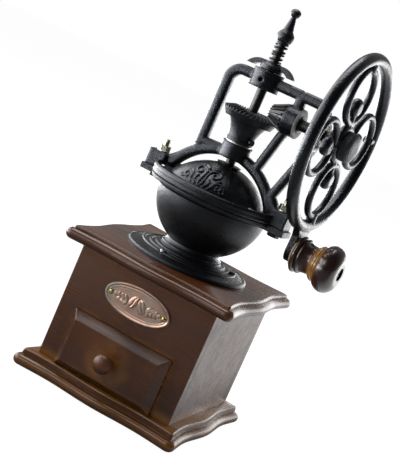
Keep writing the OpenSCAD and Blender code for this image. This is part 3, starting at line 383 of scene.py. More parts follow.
def build_cast_group():
    """Uneven skin of painted sand casting."""
    s, i, o = new_group(
        "Cast Skin", [("Scale", FLOAT, 900.0)], [("Height", FLOAT), ("Tone", FLOAT)])
    where = s.where()
    coarse = s.noise(where, s.math("MULTIPLY", i["Scale"], 0.22), 3.0, 0.6)
    fine = s.noise(where, i["Scale"], 3.0, 0.65)
    s.link(s.math("ADD", s.math("MULTIPLY", coarse, 1.2), fine), o["Height"])
    s.link(s.step(s.noise(where, 42.0, 3.0, 0.6), 0.3, 0.7), o["Tone"])


FINISHES = {}

SPECULAR = 0.42
COOL_TINT = (0.84, 0.89, 1.0, 1)
WORN_PAINT = (0.05, 0.05, 0.052, 1)
# gold bands by height in metres: where each fades in, where it fades out, its share; at the panels'
# foot the gold is thin stain, on the plinth's half-round it is partly thin stain and partly a painted
# highlight
FOOT_BAND = ((0.0100, 0.0114), (0.0125, 0.020), 0.55)
BEAD_GOLD_AND_HIGHLIGHT = ((0.0015, 0.0040), (0.0066, 0.0076), 0.3)
# distances from a rubbed point in metres over which the wear goes from none to its share
RUBBED_RING = (0.019, 0.008, 0.0, 0.5)
# painted shade: upward parts of the normal between which wood that faces down darkens, and by what
# share
UNDERSIDE_PAINTED_SHADE = (0.05, -0.55, 0.0, 0.75)


def new_material(name):
    """Material with its shader helper and Principled node, kept in FINISHES by its name."""
    material = bpy.data.materials.new(name)
    FINISHES[name] = material
    material.use_nodes = True
    shader = Shader(material.node_tree)
    return material, shader, shader.nodes["Principled BSDF"]


def paint(obj, material):
    """Gives the object one material."""
    obj.data.materials.clear()
    obj.data.materials.append(material)


def paint_nodes(names, material):
    """Gives each named node one material."""
    for name in names:
        paint(NODES[name], material)


def wood_material(name, gloss=0.2, worn=1.0, light=1.0, ripple=0.07, rubbed=None):
    """Dark stained wood with its grain along X, with painted shade where it faces down and a painted
    highlight in the gold band on the plinth's half-round.

    gloss is the least roughness, worn scales the gold on edges and in corners, light scales the
    stain's colours, ripple is the grain's relief and rubbed is a point with worn stain round it.
    """
    colours = bpy.context.scene.mill_colours
    stain = tuple(light * c for c in colours.stain)
    stain_red = tuple(light * c for c in colours.stain_red)
    material, s, p = new_material(name)
    timber = s.group("Timber", Vector=s.where())
    edge = s.group("Edge Wear", Radius=0.0011, Amount=0.55 * worn, Breakup=90.0)
    crevice = s.group("Crevice", Distance=0.006, Breakup=45.0)
    height = s.axes(s.where())[2]
    foot = s.band(height, *FOOT_BAND)
    # the band on the plinth's half-round is partly thin stain and partly a painted highlight
    bead = s.band(height, *BEAD_GOLD_AND_HIGHLIGHT)
    uneven = s.step(s.noise(s.where(), 55.0, 3.0, 0.6), 0.3, 0.62, 0.35, 1.0)
    foot = s.math("MULTIPLY", s.math("MAXIMUM", foot, bead), uneven)
    grain = s.math("MULTIPLY", timber.outputs["Grain"], 0.5)
    tone = s.mix(grain, (*stain_red, 1), (*stain, 1))
    tone = s.mix(s.math("MULTIPLY", timber.outputs["Patch"], 0.75), tone, (*stain, 1))
    tone = s.mix(edge.outputs["Mask"], tone, (*colours.worn_wood, 1))
    # gold from corners, the panels' foot and the plinth's half-round, the last partly a painted
    # highlight
    gold_and_highlight = s.math("MAXIMUM", s.math("MULTIPLY", crevice.outputs["Mask"], 0.8 * worn), foot, True)
    if rubbed:
        away = s.add("ShaderNodeVectorMath", operation="DISTANCE")
        s.link(s.where(), away.inputs[0])
        away.inputs[1].default_value = rubbed
        ring = s.math("MULTIPLY", s.step(away.outputs["Value"], *RUBBED_RING),
                      s.step(s.noise(s.where(), 70.0, 3.0, 0.6), 0.3, 0.65, 0.3, 1.0))
        gold_and_highlight = s.math("MAXIMUM", gold_and_highlight, ring)
    tone = s.mix(gold_and_highlight, tone, (*colours.worn_wood, 1))
    # painted shade: wood that faces down darkens towards 0.3 of the stain, standing in for the shade
    # under the mouldings
    facing = s.axes(s.add("ShaderNodeNewGeometry").outputs["Normal"])
    under_painted_shade = s.step(facing[2], *UNDERSIDE_PAINTED_SHADE)
    tone = s.mix(under_painted_shade, tone, (*(0.3 * c for c in stain), 1))
    s.link(tone, p.inputs["Base Color"])
    rough = s.step(timber.outputs["Grain"], 0.0, 1.0, gloss, gloss + 0.1)
    s.link(rough, p.inputs["Roughness"])
    p.inputs["Specular IOR Level"].default_value = SPECULAR
    s.bump(p, timber.outputs["Height"], ripple, 0.0001, edge.outputs["Normal"])
    return material


def metal_paint(name, colour, grain, bump_depth, rough=(0.27, 0.38), worn=0.4, radius=0.0008):
    """Painted casting: fine skin, slightly worn edges."""
    material, s, p = new_material(name)
    skin = s.group("Cast Skin", Scale=grain)
    edge = s.group("Edge Wear", Radius=radius, Amount=worn, Breakup=240.0)
    dark = tuple(0.6 * c for c in colour)
    tone = s.mix(skin.outputs["Tone"], (*dark, 1), (*colour, 1))
    tone = s.mix(edge.outputs["Mask"], tone, WORN_PAINT)
    s.link(tone, p.inputs["Base Color"])
    s.link(s.step(skin.outputs["Tone"], 0.0, 1.0, *rough), p.inputs["Roughness"])
    p.inputs["Specular IOR Level"].default_value = SPECULAR
    p.inputs["Specular Tint"].default_value = COOL_TINT
    s.bump(p, skin.outputs["Height"], 0.6, bump_depth, edge.outputs["Normal"])
    return material


def bare_metal(name, colour, rough, metallic=1.0):
    """Plain or plated metal with small blotches."""
    material, s, p = new_material(name)
    skin = s.group("Cast Skin", Scale=600.0)
    edge = s.group("Edge Wear", Radius=0.0003, Amount=0.6, Breakup=400.0)
    dull = tuple(0.55 * c for c in colour)
    tone = s.mix(skin.outputs["Tone"], (*dull, 1), (*colour, 1))
    tone = s.mix(edge.outputs["Mask"], tone, tuple(min(1, 1.5 * c) for c in colour) + (1,))
    s.link(tone, p.inputs["Base Color"])
    s.link(s.step(skin.outputs["Tone"], 0.0, 1.0, rough[1], rough[0]), p.inputs["Roughness"])
    p.inputs["Metallic"].default_value = metallic
    s.bump(p, skin.outputs["Height"], 0.3, 0.00003, edge.outputs["Normal"])
    return material


# ---------------- operators

class MILL_OT_shaders(bpy.types.Operator):
    """Builds the shared shader groups"""
    bl_idname = "mill.shaders"
    bl_label = "Shader groups"

    def execute(self, context):
        build_edge_group()
        build_crevice_group()
        build_timber_group()
        build_cast_group()
        return {"FINISHED"}


class MILL_OT_boards(bpy.types.Operator):
    """Builds the plinth and the top board with their moulded, wavy edges"""
    bl_idname = "mill.boards"
    bl_label = "Moulded boards"

    side_steps = 72
    corner_steps = 14
    wave_angle = 155
    # insets and heights of the bead over the half round, then inset, depth and height of the hollow
    bead = ((0.35, 0.02), (0.7, -0.02), (0.9, 0.06), (0.86, 0.3), (0.6, 0.42))
    hollow = (0.4, 1.1, 0.5)
    # the plinth's screw holes: half spacings, and radius and depths of the two bores, in millimetres
    screw_x = 46
    screw_y = 46.5
    bores = ((3.4, -1, 3), (1.6, 2, 12))
    chute_r = 15

    def wave(self, u):
        """Depth of a side's hollow, at -1 to 1 along the side."""
        turn = math.radians(self.wave_angle * abs(u))
        return bpy.context.scene.mill_sizes.board_wave * math.sin(turn) ** 2

    def outline(self, half, inset):
        """Four wavy sides joined by round corners, moved in by the inset."""
        points = []
        reach = half - inset
        end = reach - self.wave(1)
        r = max(bpy.context.scene.mill_sizes.board_corner - inset, 1)
        for side in range(4):
            row = [(reach - self.wave(u), u * (end - r))
                   for u in np.linspace(-1, 1, self.side_steps + 1)]
            row += [(end - r + r * math.cos(a), end - r + r * math.sin(a))
                    for a in np.linspace(0, math.pi / 2, self.corner_steps + 1)[1:-1]]
            c, n = math.cos(math.pi / 2 * side), math.sin(math.pi / 2 * side)
            points += [(x * c - y * n, x * n + y * c) for x, y in row]
        return points

    def board(self, name, low, high):
        """Half-round edge, a small bead and a hollow, swept round the outline."""
        sizes = bpy.context.scene.mill_sizes
        edge, height = sizes.board_round, high.z - low.z
        profile = [(edge * (1 - math.cos(a)), edge * (1 + math.sin(a)))
                   for a in np.radians(np.arange(-90, 91, 7.5))]
        profile += [(edge + inset, 2 * edge + up) for inset, up in self.bead]
        inset, depth, up = self.hollow
        rise = height - 2 * edge - up
        profile += [(edge + inset + depth * (1 - math.cos(a)), 2 * edge + up + rise * math.sin(a))
                    for a in np.radians(np.arange(0, 91, 10))]
        half = (high.x - low.x) / 2
        rings = [self.outline(half, inset) for inset, _ in profile]
        verts = [(x, y, low.z + z) for ring, (_, z) in zip(rings, profile) for x, y in ring]
        obj = new_object(name, verts, ring_faces(len(profile), len(rings[0])))
        keep_sharp(obj, 42)
        return obj

    def execute(self, context):
        wood = wood_material("board_wood")
        plinth = self.board("plinth", PLINTH_LOW, PLINTH_HIGH)
        top = self.board("top", TOP_LOW, TOP_HIGH)
        for sx in (-1, 1):
            for sy in (-1, 1):
                x, y = sx * self.screw_x, sy * self.screw_y
                for radius, start, end in self.bores:
                    cut(plinth, rod("hole", (x, y, start), (x, y, end), radius))
        chute = rod("chute", (0, 0, TOP_LOW.z - 1), (0, 0, TOP_HIGH.z + 1), self.chute_r, 96)
        cut(top, chute)
        for obj, node in ((plinth, "plinth_board"), (top, "top_board")):
            keep_sharp(obj, 42)
            paint(obj, wood)
            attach(obj, "stand")
            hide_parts(node)
        return {"FINISHED"}


class MILL_OT_panels(bpy.types.Operator):
    """Finishes the box's panels and the drawer"""
    bl_idname = "mill.panels"
    bl_label = "Panels and drawer"

    def execute(self, context):
        wood = wood_material("panel_wood", gloss=0.24, ripple=0.08)
        paint_nodes(("front_panel", "back_panel", "left_panel", "right_panel"), wood)
        low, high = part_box("drawer_knob")
        knob_root = ((low.x + high.x) / 2, high.y, (low.z + high.z) / 2)
        drawer = wood_material("drawer_wood", gloss=0.22, worn=0.6, rubbed=knob_root)
        paint(NODES["drawer_front"], drawer)
        # partly the knob's lighter tone and partly its soft highlight painted in: the knob is a copy
        # of the wood 1.7 times lighter
        knob = wood_material("knob_wood_with_painted_highlight", gloss=0.3, worn=0.6, light=1.7, ripple=0.1)
        paint(NODES["drawer_knob"], knob)
        material, s, p = new_material("pale_wood")
        timber = s.group("Timber", Vector=s.where())
        s.link(s.mix(timber.outputs["Grain"], (0.5, 0.33, 0.18, 1), (0.36, 0.22, 0.11, 1)),
               p.inputs["Base Color"])
        p.inputs["Roughness"].default_value = 0.65
        s.bump(p, timber.outputs["Height"], 0.4, 0.0001)
        paint_nodes(("drawer_guides", "drawer_sides", "drawer_back", "drawer_bottom"), material)
        return {"FINISHED"}


class MILL_OT_metal(bpy.types.Operator):
    """Finishes the castings, the turned steel and the fasteners"""
    bl_idname = "mill.metal"
    bl_label = "Metal pieces"

    # nodes, finish, fineness and depth of the skin, roughness, wear and radius of the edges
    castings = (
        (("base_disc", "bowl", "wing_nut", "finial", "bevel_gear"),
         "black_paint", 900.0, 0.0003, (0.27, 0.38), 0.4, 0.0008),
        (("dome_cover", "bean_door"), "dome_paint", 700.0, 0.0003, (0.20, 0.30), 0.5, 0.0006),
        (("frame_casting",), "frame_paint", 900.0, 0.0003, (0.22, 0.33), 0.2, 0.0024),
        (("crank_wheel",), "wheel_iron", 620.0, 0.0004, (0.18, 0.28), 0.7, 0.0012))
    # nodes, finish, colour, least and greatest roughness
    bare = (
        (("drive_shaft", "pinion", "spindle", "tension_spring", "spindle_key", "handle_pin",
          "pinion_pin", "gear_screw", "shaft_washers"),
         "dark_steel", (0.06, 0.06, 0.063), (0.28, 0.42)),
        (("disc_screws", "dome_screws"), "screw_steel", (0.34, 0.34, 0.35), (0.2, 0.35)),
        (("outer_burr", "inner_burr"), "burr_iron", (0.2, 0.2, 0.2), (0.4, 0.6)),
        (("box_screws", "bowl_screws", "burr_screws", "burr_nut", "knob_screw", "thrust_washer"),
         "zinc_steel", (0.62, 0.62, 0.6), (0.25, 0.45)),
        (("ear_bolts", "ear_nuts"), "yellow_zinc", (0.56, 0.54, 0.44), (0.25, 0.45)),
        (("hub_bushes", "shaft_bushes"), "bronze", (0.5, 0.34, 0.14), (0.25, 0.45)),
        (("plate_pins",), "brass_pin", (0.75, 0.62, 0.25), (0.15, 0.3)))
    # the boss's end: millimetres before the washer, then where its mask fades, in metres
    face_inset = 0.3
    face_depth = (0.0006, 0.0003)
    face_radius = (0.0104, 0.0101)
    face_colour = (0.30, 0.30, 0.29, 1)
    face_rough = 0.6
    # millimetres below the nuts between which black gives way to bare plate
    black_end = (4, 3)
    head_black = (0.008, 0.008, 0.009, 1)

    def grey_boss_end(self, material):
        """Light grey, matte end of the frame's bearing boss."""
        s = Shader(material.node_tree)
        p = s.nodes["Principled BSDF"]
        low, high = low_high("drive_shaft")
        washer, _ = low_high("shaft_washers")
        x, y, z = s.axes(s.place(s.where(), rotation=(0, 0, -HEAD_TURN)))
        end = (washer.x / math.cos(HEAD_TURN) - self.face_inset) * MM
        off = s.math("ABSOLUTE", s.math("SUBTRACT", x, end))
        up = s.math("SUBTRACT", z, (low.z + high.z) / 2 * MM)
        squares = s.math("ADD", s.math("POWER", up, 2.0), s.math("POWER", y, 2.0))
        far = s.math("SQRT", squares)
        face = s.math("MULTIPLY", s.step(off, *self.face_depth), s.step(far, *self.face_radius), True)
        old = p.inputs["Base Color"].links[0].from_socket
        s.link(s.mix(face, old, self.face_colour), p.inputs["Base Color"])
        old = p.inputs["Roughness"].links[0].from_socket
        s.link(s.mix(face, old, self.face_rough, "FLOAT"), p.inputs["Roughness"])

    def black_heads(self, material):
        """Bolt heads under the ears are black, giving way to bare plate higher up."""
        s = Shader(material.node_tree)
        p = s.nodes["Principled BSDF"]
        nuts, _ = low_high("ear_nuts")
        bare = s.step(s.axes(s.where())[2], *((nuts.z - down) * MM for down in self.black_end))
        old = p.inputs["Base Color"].links[0].from_socket
        s.link(s.mix(bare, self.head_black, old), p.inputs["Base Color"])
        s.link(bare, p.inputs["Metallic"])

    def execute(self, context):
        black = tuple(context.scene.mill_colours.black_paint)
        for names, finish, *values in self.castings:
            paint_nodes(names, metal_paint(finish, black, *values))
        self.grey_boss_end(FINISHES["frame_paint"])
        hub = metal_paint("hub_iron", (0.03, 0.03, 0.032), 480.0, 0.0009, (0.42, 0.6))
        paint(NODES["hub_nut"], hub)
        for names, finish, colour, rough in self.bare:
            paint_nodes(names, bare_metal(finish, colour, rough))
        self.black_heads(FINISHES["yellow_zinc"])
        return {"FINISHED"}


class MILL_OT_plate(bpy.types.Operator):
    """Stamps the oval plate: a rolled rim round two beans between leafy sprigs"""
    bl_idname = "mill.plate"
    bl_label = "Oval plate"

    around = 300
    # distance from the edge and height of the rolled rim
    rim = [(0, 0), (0.02, 0.45), (0.12, 0.85), (0.35, 1.18), (0.7, 1.36), (1.05, 1.4), (1.4, 1.33),
           (1.8, 1.12), (2.1, 0.95), (2.35, 0.87), (2.55, 0.92), (2.75, 1.02), (2.95, 1.02),
           (3.15, 0.9), (3.35, 0.8)]
    field = 0.8
    field_rings = 58
    stamp = 0.55
    bean_half = (4.5, 2.8)

    def turned(self, x, z, at, angle, sizes):
        """Places measured from a point along turned axes, as shares of the two sizes."""
        a = math.radians(angle)
        u = (x - at[0]) * math.cos(a) + (z - at[1]) * math.sin(a)
        v = -(x - at[0]) * math.sin(a) + (z - at[1]) * math.cos(a)
        return u / sizes[0], v / sizes[1]

    def leaf(self, x, z, at, angle, length, width):
        """Raised leaf with a sunk midrib."""
        u, v = self.turned(x, z, at, angle, (length, width))
        bow = np.sin(np.pi * np.clip(u, 0, 1)) ** 0.8
        inside = np.clip(1 - (v / np.maximum(bow, 1e-3)) ** 2, 0, 1) * (u > 0) * (u < 1)
        return np.sqrt(inside) * (1 - 0.55 * np.exp(-(v / 0.16) ** 2))

    def bean(self, x, z, at, angle):
        """Raised bean with a curved groove."""
        u, v = self.turned(x, z, at, angle, self.bean_half)
        dome = np.sqrt(np.clip(1 - u ** 2 - v ** 2, 0, 1))
        groove = np.exp(-((v - 0.16 * np.sin(2.6 * u)) / 0.13) ** 2)
        return dome * (1 - 0.75 * groove)

    def stem_height(self, side):
        """Height of the sprig's stem at a distance from the plate's middle."""
        return -1.2 + 0.014 * (side - 6) ** 2

    def motif(self, x, z):
        """Height from 0 to 1 of the stamped design."""
        height = np.maximum(self.bean(x, z, (-2.9, 0.4), 64), self.bean(x, z, (3.1, -0.3), 116))
        side = np.abs(x)
        stem = np.clip(1 - ((z - self.stem_height(side)) / 0.36) ** 2, 0, 1)
        stem *= (side > 6.4) * (side < 14.9)
        height = np.maximum(height, 0.6 * np.sqrt(stem))
        for i, at in enumerate((7.0, 9.6, 12.2)):
            root = (at, self.stem_height(at))
            size = 5.0 - 0.6 * i
            height = np.maximum(height, self.leaf(side, z, root, 54, size, 1.3))
            height = np.maximum(height, self.leaf(side, z, root, -40, size * 0.78, 1.15))
        return np.maximum(height, self.leaf(side, z, (14.3, 0.0), 12, 3.2, 1.1))

    def execute(self, context):
        half_x, half_z = (PLATE_HIGH.x - PLATE_LOW.x) / 2, (PLATE_HIGH.z - PLATE_LOW.z) / 2
        middle = (PLATE_HIGH.z + PLATE_LOW.z) / 2
        angles = np.linspace(0, 2 * math.pi, self.around, endpoint=False)
        last = self.rim[-1][0]
        inner = [last + (half_z - last) * i / self.field_rings for i in range(1, self.field_rings)]
        rows = []
        for inset, height in self.rim:
            rows.append(((half_x - inset) * np.cos(angles), (half_z - inset) * np.sin(angles),
                         np.full(self.around, height)))
        for inset in inner:
            share = (half_z - inset) / (half_z - last)
            x = (half_x - last) * share * np.cos(angles)
            z = (half_z - last) * share * np.sin(angles)
            dent = 0.03 * np.sin(0.7 * x + 1.0) * np.cos(0.9 * z)
            rows.append((x, z, self.field + self.stamp * self.motif(x, z) + dent))
        back = PLATE_HIGH.y
        verts = [(x, back - h, middle + z) for row in rows for x, z, h in zip(*row)]
        faces = ring_faces(len(rows), self.around)
        obj = new_object("stamped_plate", verts, faces)
        keep_sharp(obj, 70)
        colours = context.scene.mill_colours
        material, s, p = new_material("aged_copper")
        where = s.where()
        left = s.step(s.axes(where)[0], -0.010, -0.022)
        blotch = s.step(s.noise(where, 150.0, 4.0, 0.6), 0.45, 0.62)
        crevice = s.group("Crevice", Distance=0.0012, Breakup=300.0)
        mask = s.math("MAXIMUM", s.math("MULTIPLY", left, 0.8), s.math("MULTIPLY", blotch, 0.45), True)
        tone = s.mix(mask, (*colours.copper, 1), (*colours.patina, 1))
        tone = s.mix(s.math("MULTIPLY", crevice.outputs["Mask"], 0.8), tone, (0.06, 0.035, 0.025, 1))
        s.link(tone, p.inputs["Base Color"])
        s.link(s.math("SUBTRACT", 1.0, s.math("MULTIPLY", mask, 0.6)), p.inputs["Metallic"])
        s.link(s.step(mask, 0.0, 1.0, 0.36, 0.6), p.inputs["Roughness"])
        skin = s.group("Cast Skin", Scale=1400.0)
        s.bump(p, skin.outputs["Height"], 0.35, 0.00004)
        paint(obj, material)
        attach(obj, "stand")
        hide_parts("oval_plate")
        return {"FINISHED"}


class MILL_OT_relief(bpy.types.Operator):
    """Builds the scroll relief on the sliding door and on the back of the dome"""
    bl_idname = "mill.relief"
    bl_label = "Dome relief"

    # the dome's centre, the free ball under the arch and the panels' foot, in millimetres
    centre_z = 127.9
    arch_z = 132.0
    arch_r = 39.0
    low_z = 150.1
    # gap to the arch, least relief, thickness under it and how far the panel's rim is sunk
    clearance = 0.45
    least = 0.12
    base = 0.06
    sunk = 0.2
    flower_y = 14.6
    spiral_steps = 26
    columns = 300
    rows = 190

    def spiral(self, x, y, radius, end_radius, start, sweep):
        """Points of a spiral round a centre, with its angles in degrees."""
        points = []
        for i in range(self.spiral_steps + 1):
            t = i / self.spiral_steps
            r = radius + (end_radius - radius) * t
            a = math.radians(start + sweep * t)
            points.append((x + r * math.cos(a), y + r * math.sin(a)))
        return points

    def strokes(self):
        """Lines of the ornament with their half widths, for one half of the panel."""
        upper = self.spiral(5.4, 12.6, 4.4, 1.0, 170, -420)
        lower = self.spiral(11.6, 4.7, 3.5, 0.8, 200, -430)
        outer = self.spiral(15.6, 3.1, 2.2, 0.6, 60, 400)
        stem = [(0.6, 1.2), (1.4, 4.0), (1.2, 7.0), (0.9, 9.8), (1.0, 12.0)]
        sprig = [(1.6, 16.8), (3.0, 18.2), (5.2, 18.9), (7.6, 18.1)]
        leaf = [(3.2, 1.4), (4.6, 3.6), (5.0, 6.2), (3.9, 8.2)]
        foot = [(6.4, 1.2), (7.6, 3.4), (8.0, 6.0), (8.6, 8.4), (10.4, 9.8)]
        return [(upper, 1.0, 0.45), (lower, 0.95, 0.4), (outer, 0.8, 0.4), (stem, 0.75, 0.75),
                (sprig, 1.05, 0.3), (leaf, 1.0, 0.45), (foot, 0.55, 0.85)]

    def ornament(self, x, y):
        """Height from 0 to 1 of the ornament over the panel's width x and height y."""
        height = np.zeros_like(x)
        side = np.abs(x)
        for points, start, end in self.strokes():
            points = np.array(points)
            count = len(points) - 1
            for i in range(count):
                a, b = points[i], points[i + 1]
                ab = b - a
                t = np.clip(((side - a[0]) * ab[0] + (y - a[1]) * ab[1]) / (ab @ ab), 0, 1)
                near = np.hypot(side - a[0] - t * ab[0], y - a[1] - t * ab[1])
                width = start + (end - start) * (i + t) / count
                height = np.maximum(height, np.sqrt(np.clip(1 - (near / width) ** 2, 0, 1)))
        angle = np.arctan2(side, y - self.flower_y)
        far = np.hypot(side, y - self.flower_y)
        petal = 1.25 + 0.75 * np.abs(np.cos(2.5 * angle))
        height = np.maximum(height, 0.9 * np.sqrt(np.clip(1 - (far / petal) ** 2, 0, 1)))
        height = np.maximum(height, 1.15 * np.sqrt(np.clip(1 - (far / 0.62) ** 2, 0, 1)))
        return height

    def panel(self, name, radius, middle, half_angle, top):
        """Relief on a ball, round the middle angle and up to the top angle, in degrees."""
        rows, columns = self.rows, self.columns
        relief = bpy.context.scene.mill_sizes.relief_height
        low = math.asin((self.low_z - self.centre_z) / radius)
        rise = np.linspace(0, 1, rows)[:, None]
        turn = np.linspace(-1, 1, columns)[None, :]
        tilt = low + (math.radians(top) - low) * rise
        azimuth = turn * math.radians(half_angle) * np.ones_like(rise)
        x = azimuth * radius * np.cos(tilt)
        y = (tilt - low) * radius * np.ones_like(turn)
        shape = self.ornament(x, y)
        edge = np.minimum(1 - np.abs(turn), np.minimum(rise, 1 - rise) * 1.6)
        rim = np.clip(edge / 0.06, 0, 1)
        # the relief stays inside the ball that the arch leaves free
        wide = radius * np.cos(tilt)
        high = radius * np.sin(tilt) + self.centre_z - self.arch_z
        room = self.arch_r - np.hypot(wide, high) - self.clearance
        height = np.minimum(relief * shape, np.maximum(room, self.least)) + self.base
        out = radius + height * rim - self.sunk * (1 - rim)
        a = azimuth + math.radians(middle)
        verts = np.stack([out * np.cos(tilt) * np.cos(a), out * np.cos(tilt) * np.sin(a),
                          out * np.sin(tilt) + self.centre_z], -1).reshape(-1, 3)
        faces = [(r * columns + c, r * columns + c + 1, (r + 1) * columns + c + 1,
                  (r + 1) * columns + c) for r in range(rows - 1) for c in range(columns - 1)]
        obj = new_object(name, verts, faces)
        obj.data.transform(Matrix.Rotation(HEAD_TURN, 4, "Z"))
        return obj

    def execute(self, context):
        front = self.panel("door_relief", 40.3, -90, 31.0, 62)
        back = self.panel("back_relief", 39.0, 90, 40.0, 66)
        for obj, body in ((front, "door"), (back, "stand")):
            paint(obj, FINISHES["dome_paint"])
            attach(obj, body)
        return {"FINISHED"}


class MILL_OT_spring(bpy.types.Operator):
    """Winds the spring above the wing nut"""
    bl_idname = "mill.spring"
    bl_label = "Spring"

    per_turn = 40
    around = 14

    def execute(self, context):
        sizes = context.scene.mill_sizes
        wire = sizes.spring_wire / 2
        low, high = SPRING_LOW.z, SPRING_HIGH.z
        radius = (SPRING_HIGH.x - SPRING_LOW.x) / 2 - wire
        rise = high - low - 2 * wire
        steps = int(sizes.spring_turns * self.per_turn)
        verts = []
        for i in range(steps + 1):
            a = 2 * math.pi * i / self.per_turn
            # closed end turns, open middle
            t = i / steps
            z = low + wire + rise * (t - 0.08 * math.sin(4 * math.pi * t) / 2)
            for j in range(self.around):
                b = 2 * math.pi * j / self.around
                r = radius + wire * math.cos(b)
                verts.append((r * math.cos(a), r * math.sin(a), z + wire * math.sin(b)))
        obj = new_object("spring", verts, ring_faces(steps + 1, self.around))
        keep_sharp(obj, 50)
        paint(obj, FINISHES["dark_steel"])
        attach(obj, "gear")
        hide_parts("tension_spring")
        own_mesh(obj)
        return {"FINISHED"}


class MILL_OT_threads(bpy.types.Operator):
    """Cuts threads on the ends of the ear bolts"""
    bl_idname = "mill.threads"
    bl_label = "Bolt threads"

    # in millimetres, with the thread's root sunk into the bolt
    pitch = 0.7
    depth = 0.28
    root = 0.15
    bolt_r = 2.0
    per_turn = 28

    def thread(self, name, x, y, low, high):
        """Ridge of four-sided section wound round a bolt, fading out at its ends."""
        turns = (high - low) / self.pitch
        count = self.per_turn
        steps = int(turns * count)
        verts = []
        for i in range(steps + 1):
            a = 2 * math.pi * i / count
            z = low + (high - low) * i / steps
            fade = min(1.0, (steps - i) / count, i / count + 0.2)
            crest = self.depth * fade
            section = ((-self.root, -0.5), (crest, -0.08), (crest, 0.08), (-self.root, 0.5))
            for out, up in section:
                r = self.bolt_r + out
                verts.append((x + r * math.cos(a), y + r * math.sin(a), z + up * self.pitch))
        obj = new_object(name, verts, ring_faces(steps + 1, 4))
        keep_sharp(obj, 30)
        return obj

    def execute(self, context):
        _, high = low_high("ear_bolts")
        _, nut_high = low_high("ear_nuts")
        for side, name in ((-1, "left"), (1, "right")):
            x, y = self.bolt_place(side)
            obj = self.thread(f"bolt_thread_{name}", x, y, nut_high.z + 0.2, high.z - 0.4)
            paint(obj, FINISHES["yellow_zinc"])
            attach(obj, "stand")
        return {"FINISHED"}

    def bolt_place(self, side):
        """Axis of the bolt on one side, in millimetres."""
        verts = [Vector(v.co) / MM for v in NODES["ear_bolts"].data.vertices if v.co.x * side > 0]
        rows = [[v[axis] for v in verts] for axis in (0, 1)]
        return [(min(row) + max(row)) / 2 for row in rows]


class MILL_OT_handle(bpy.types.Operator):
    """Finishes the turned wooden handle"""
    bl_idname = "mill.handle"
    bl_label = "Handle"

    def execute(self, context):
        colours = context.scene.mill_colours
        material, s, p = new_material("handle_wood")
        where = s.where()
        low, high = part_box("grip")
        ramp = s.add("ShaderNodeMapRange")
        s.link(s.axes(where)[0], ramp.inputs[0])
        ramp.inputs[1].default_value = low.x
        ramp.inputs[2].default_value = high.x
        bands = s.add("ShaderNodeValToRGB")
        s.link(ramp.outputs[0], bands.inputs[0])
        dark = (0.017, 0.0065, 0.0045, 1)
        red = (0.055, 0.014, 0.006, 1)
        amber = (*colours.amber, 1)
        stops = [(0.0, red), (0.1, dark), (0.3, dark), (0.37, red), (0.43, amber), (0.54, amber),
                 (0.62, red), (0.74, dark), (1.0, dark)]
        elements = bands.color_ramp.elements
        while len(elements) < len(stops):
            elements.new(0.5)
        for element, (place, colour) in zip(elements, stops):
            element.position = place
            element.color = colour
        timber = s.group("Timber", Vector=where, Grain=90.0)
        tone = s.mix(s.math("MULTIPLY", timber.outputs["Grain"], 0.5), bands.outputs[0], dark)
        s.link(tone, p.inputs["Base Color"])
        p.inputs["Roughness"].default_value = 0.28
        p.inputs["Coat Weight"].default_value = 0.4
        p.inputs["Coat Roughness"].default_value = 0.14
        paint(NODES["grip"], material)
        paint(NODES["grip_washer"], bare_metal("fibre", (0.5, 0.4, 0.26), (0.5, 0.7), 0.0))
        return {"FINISHED"}


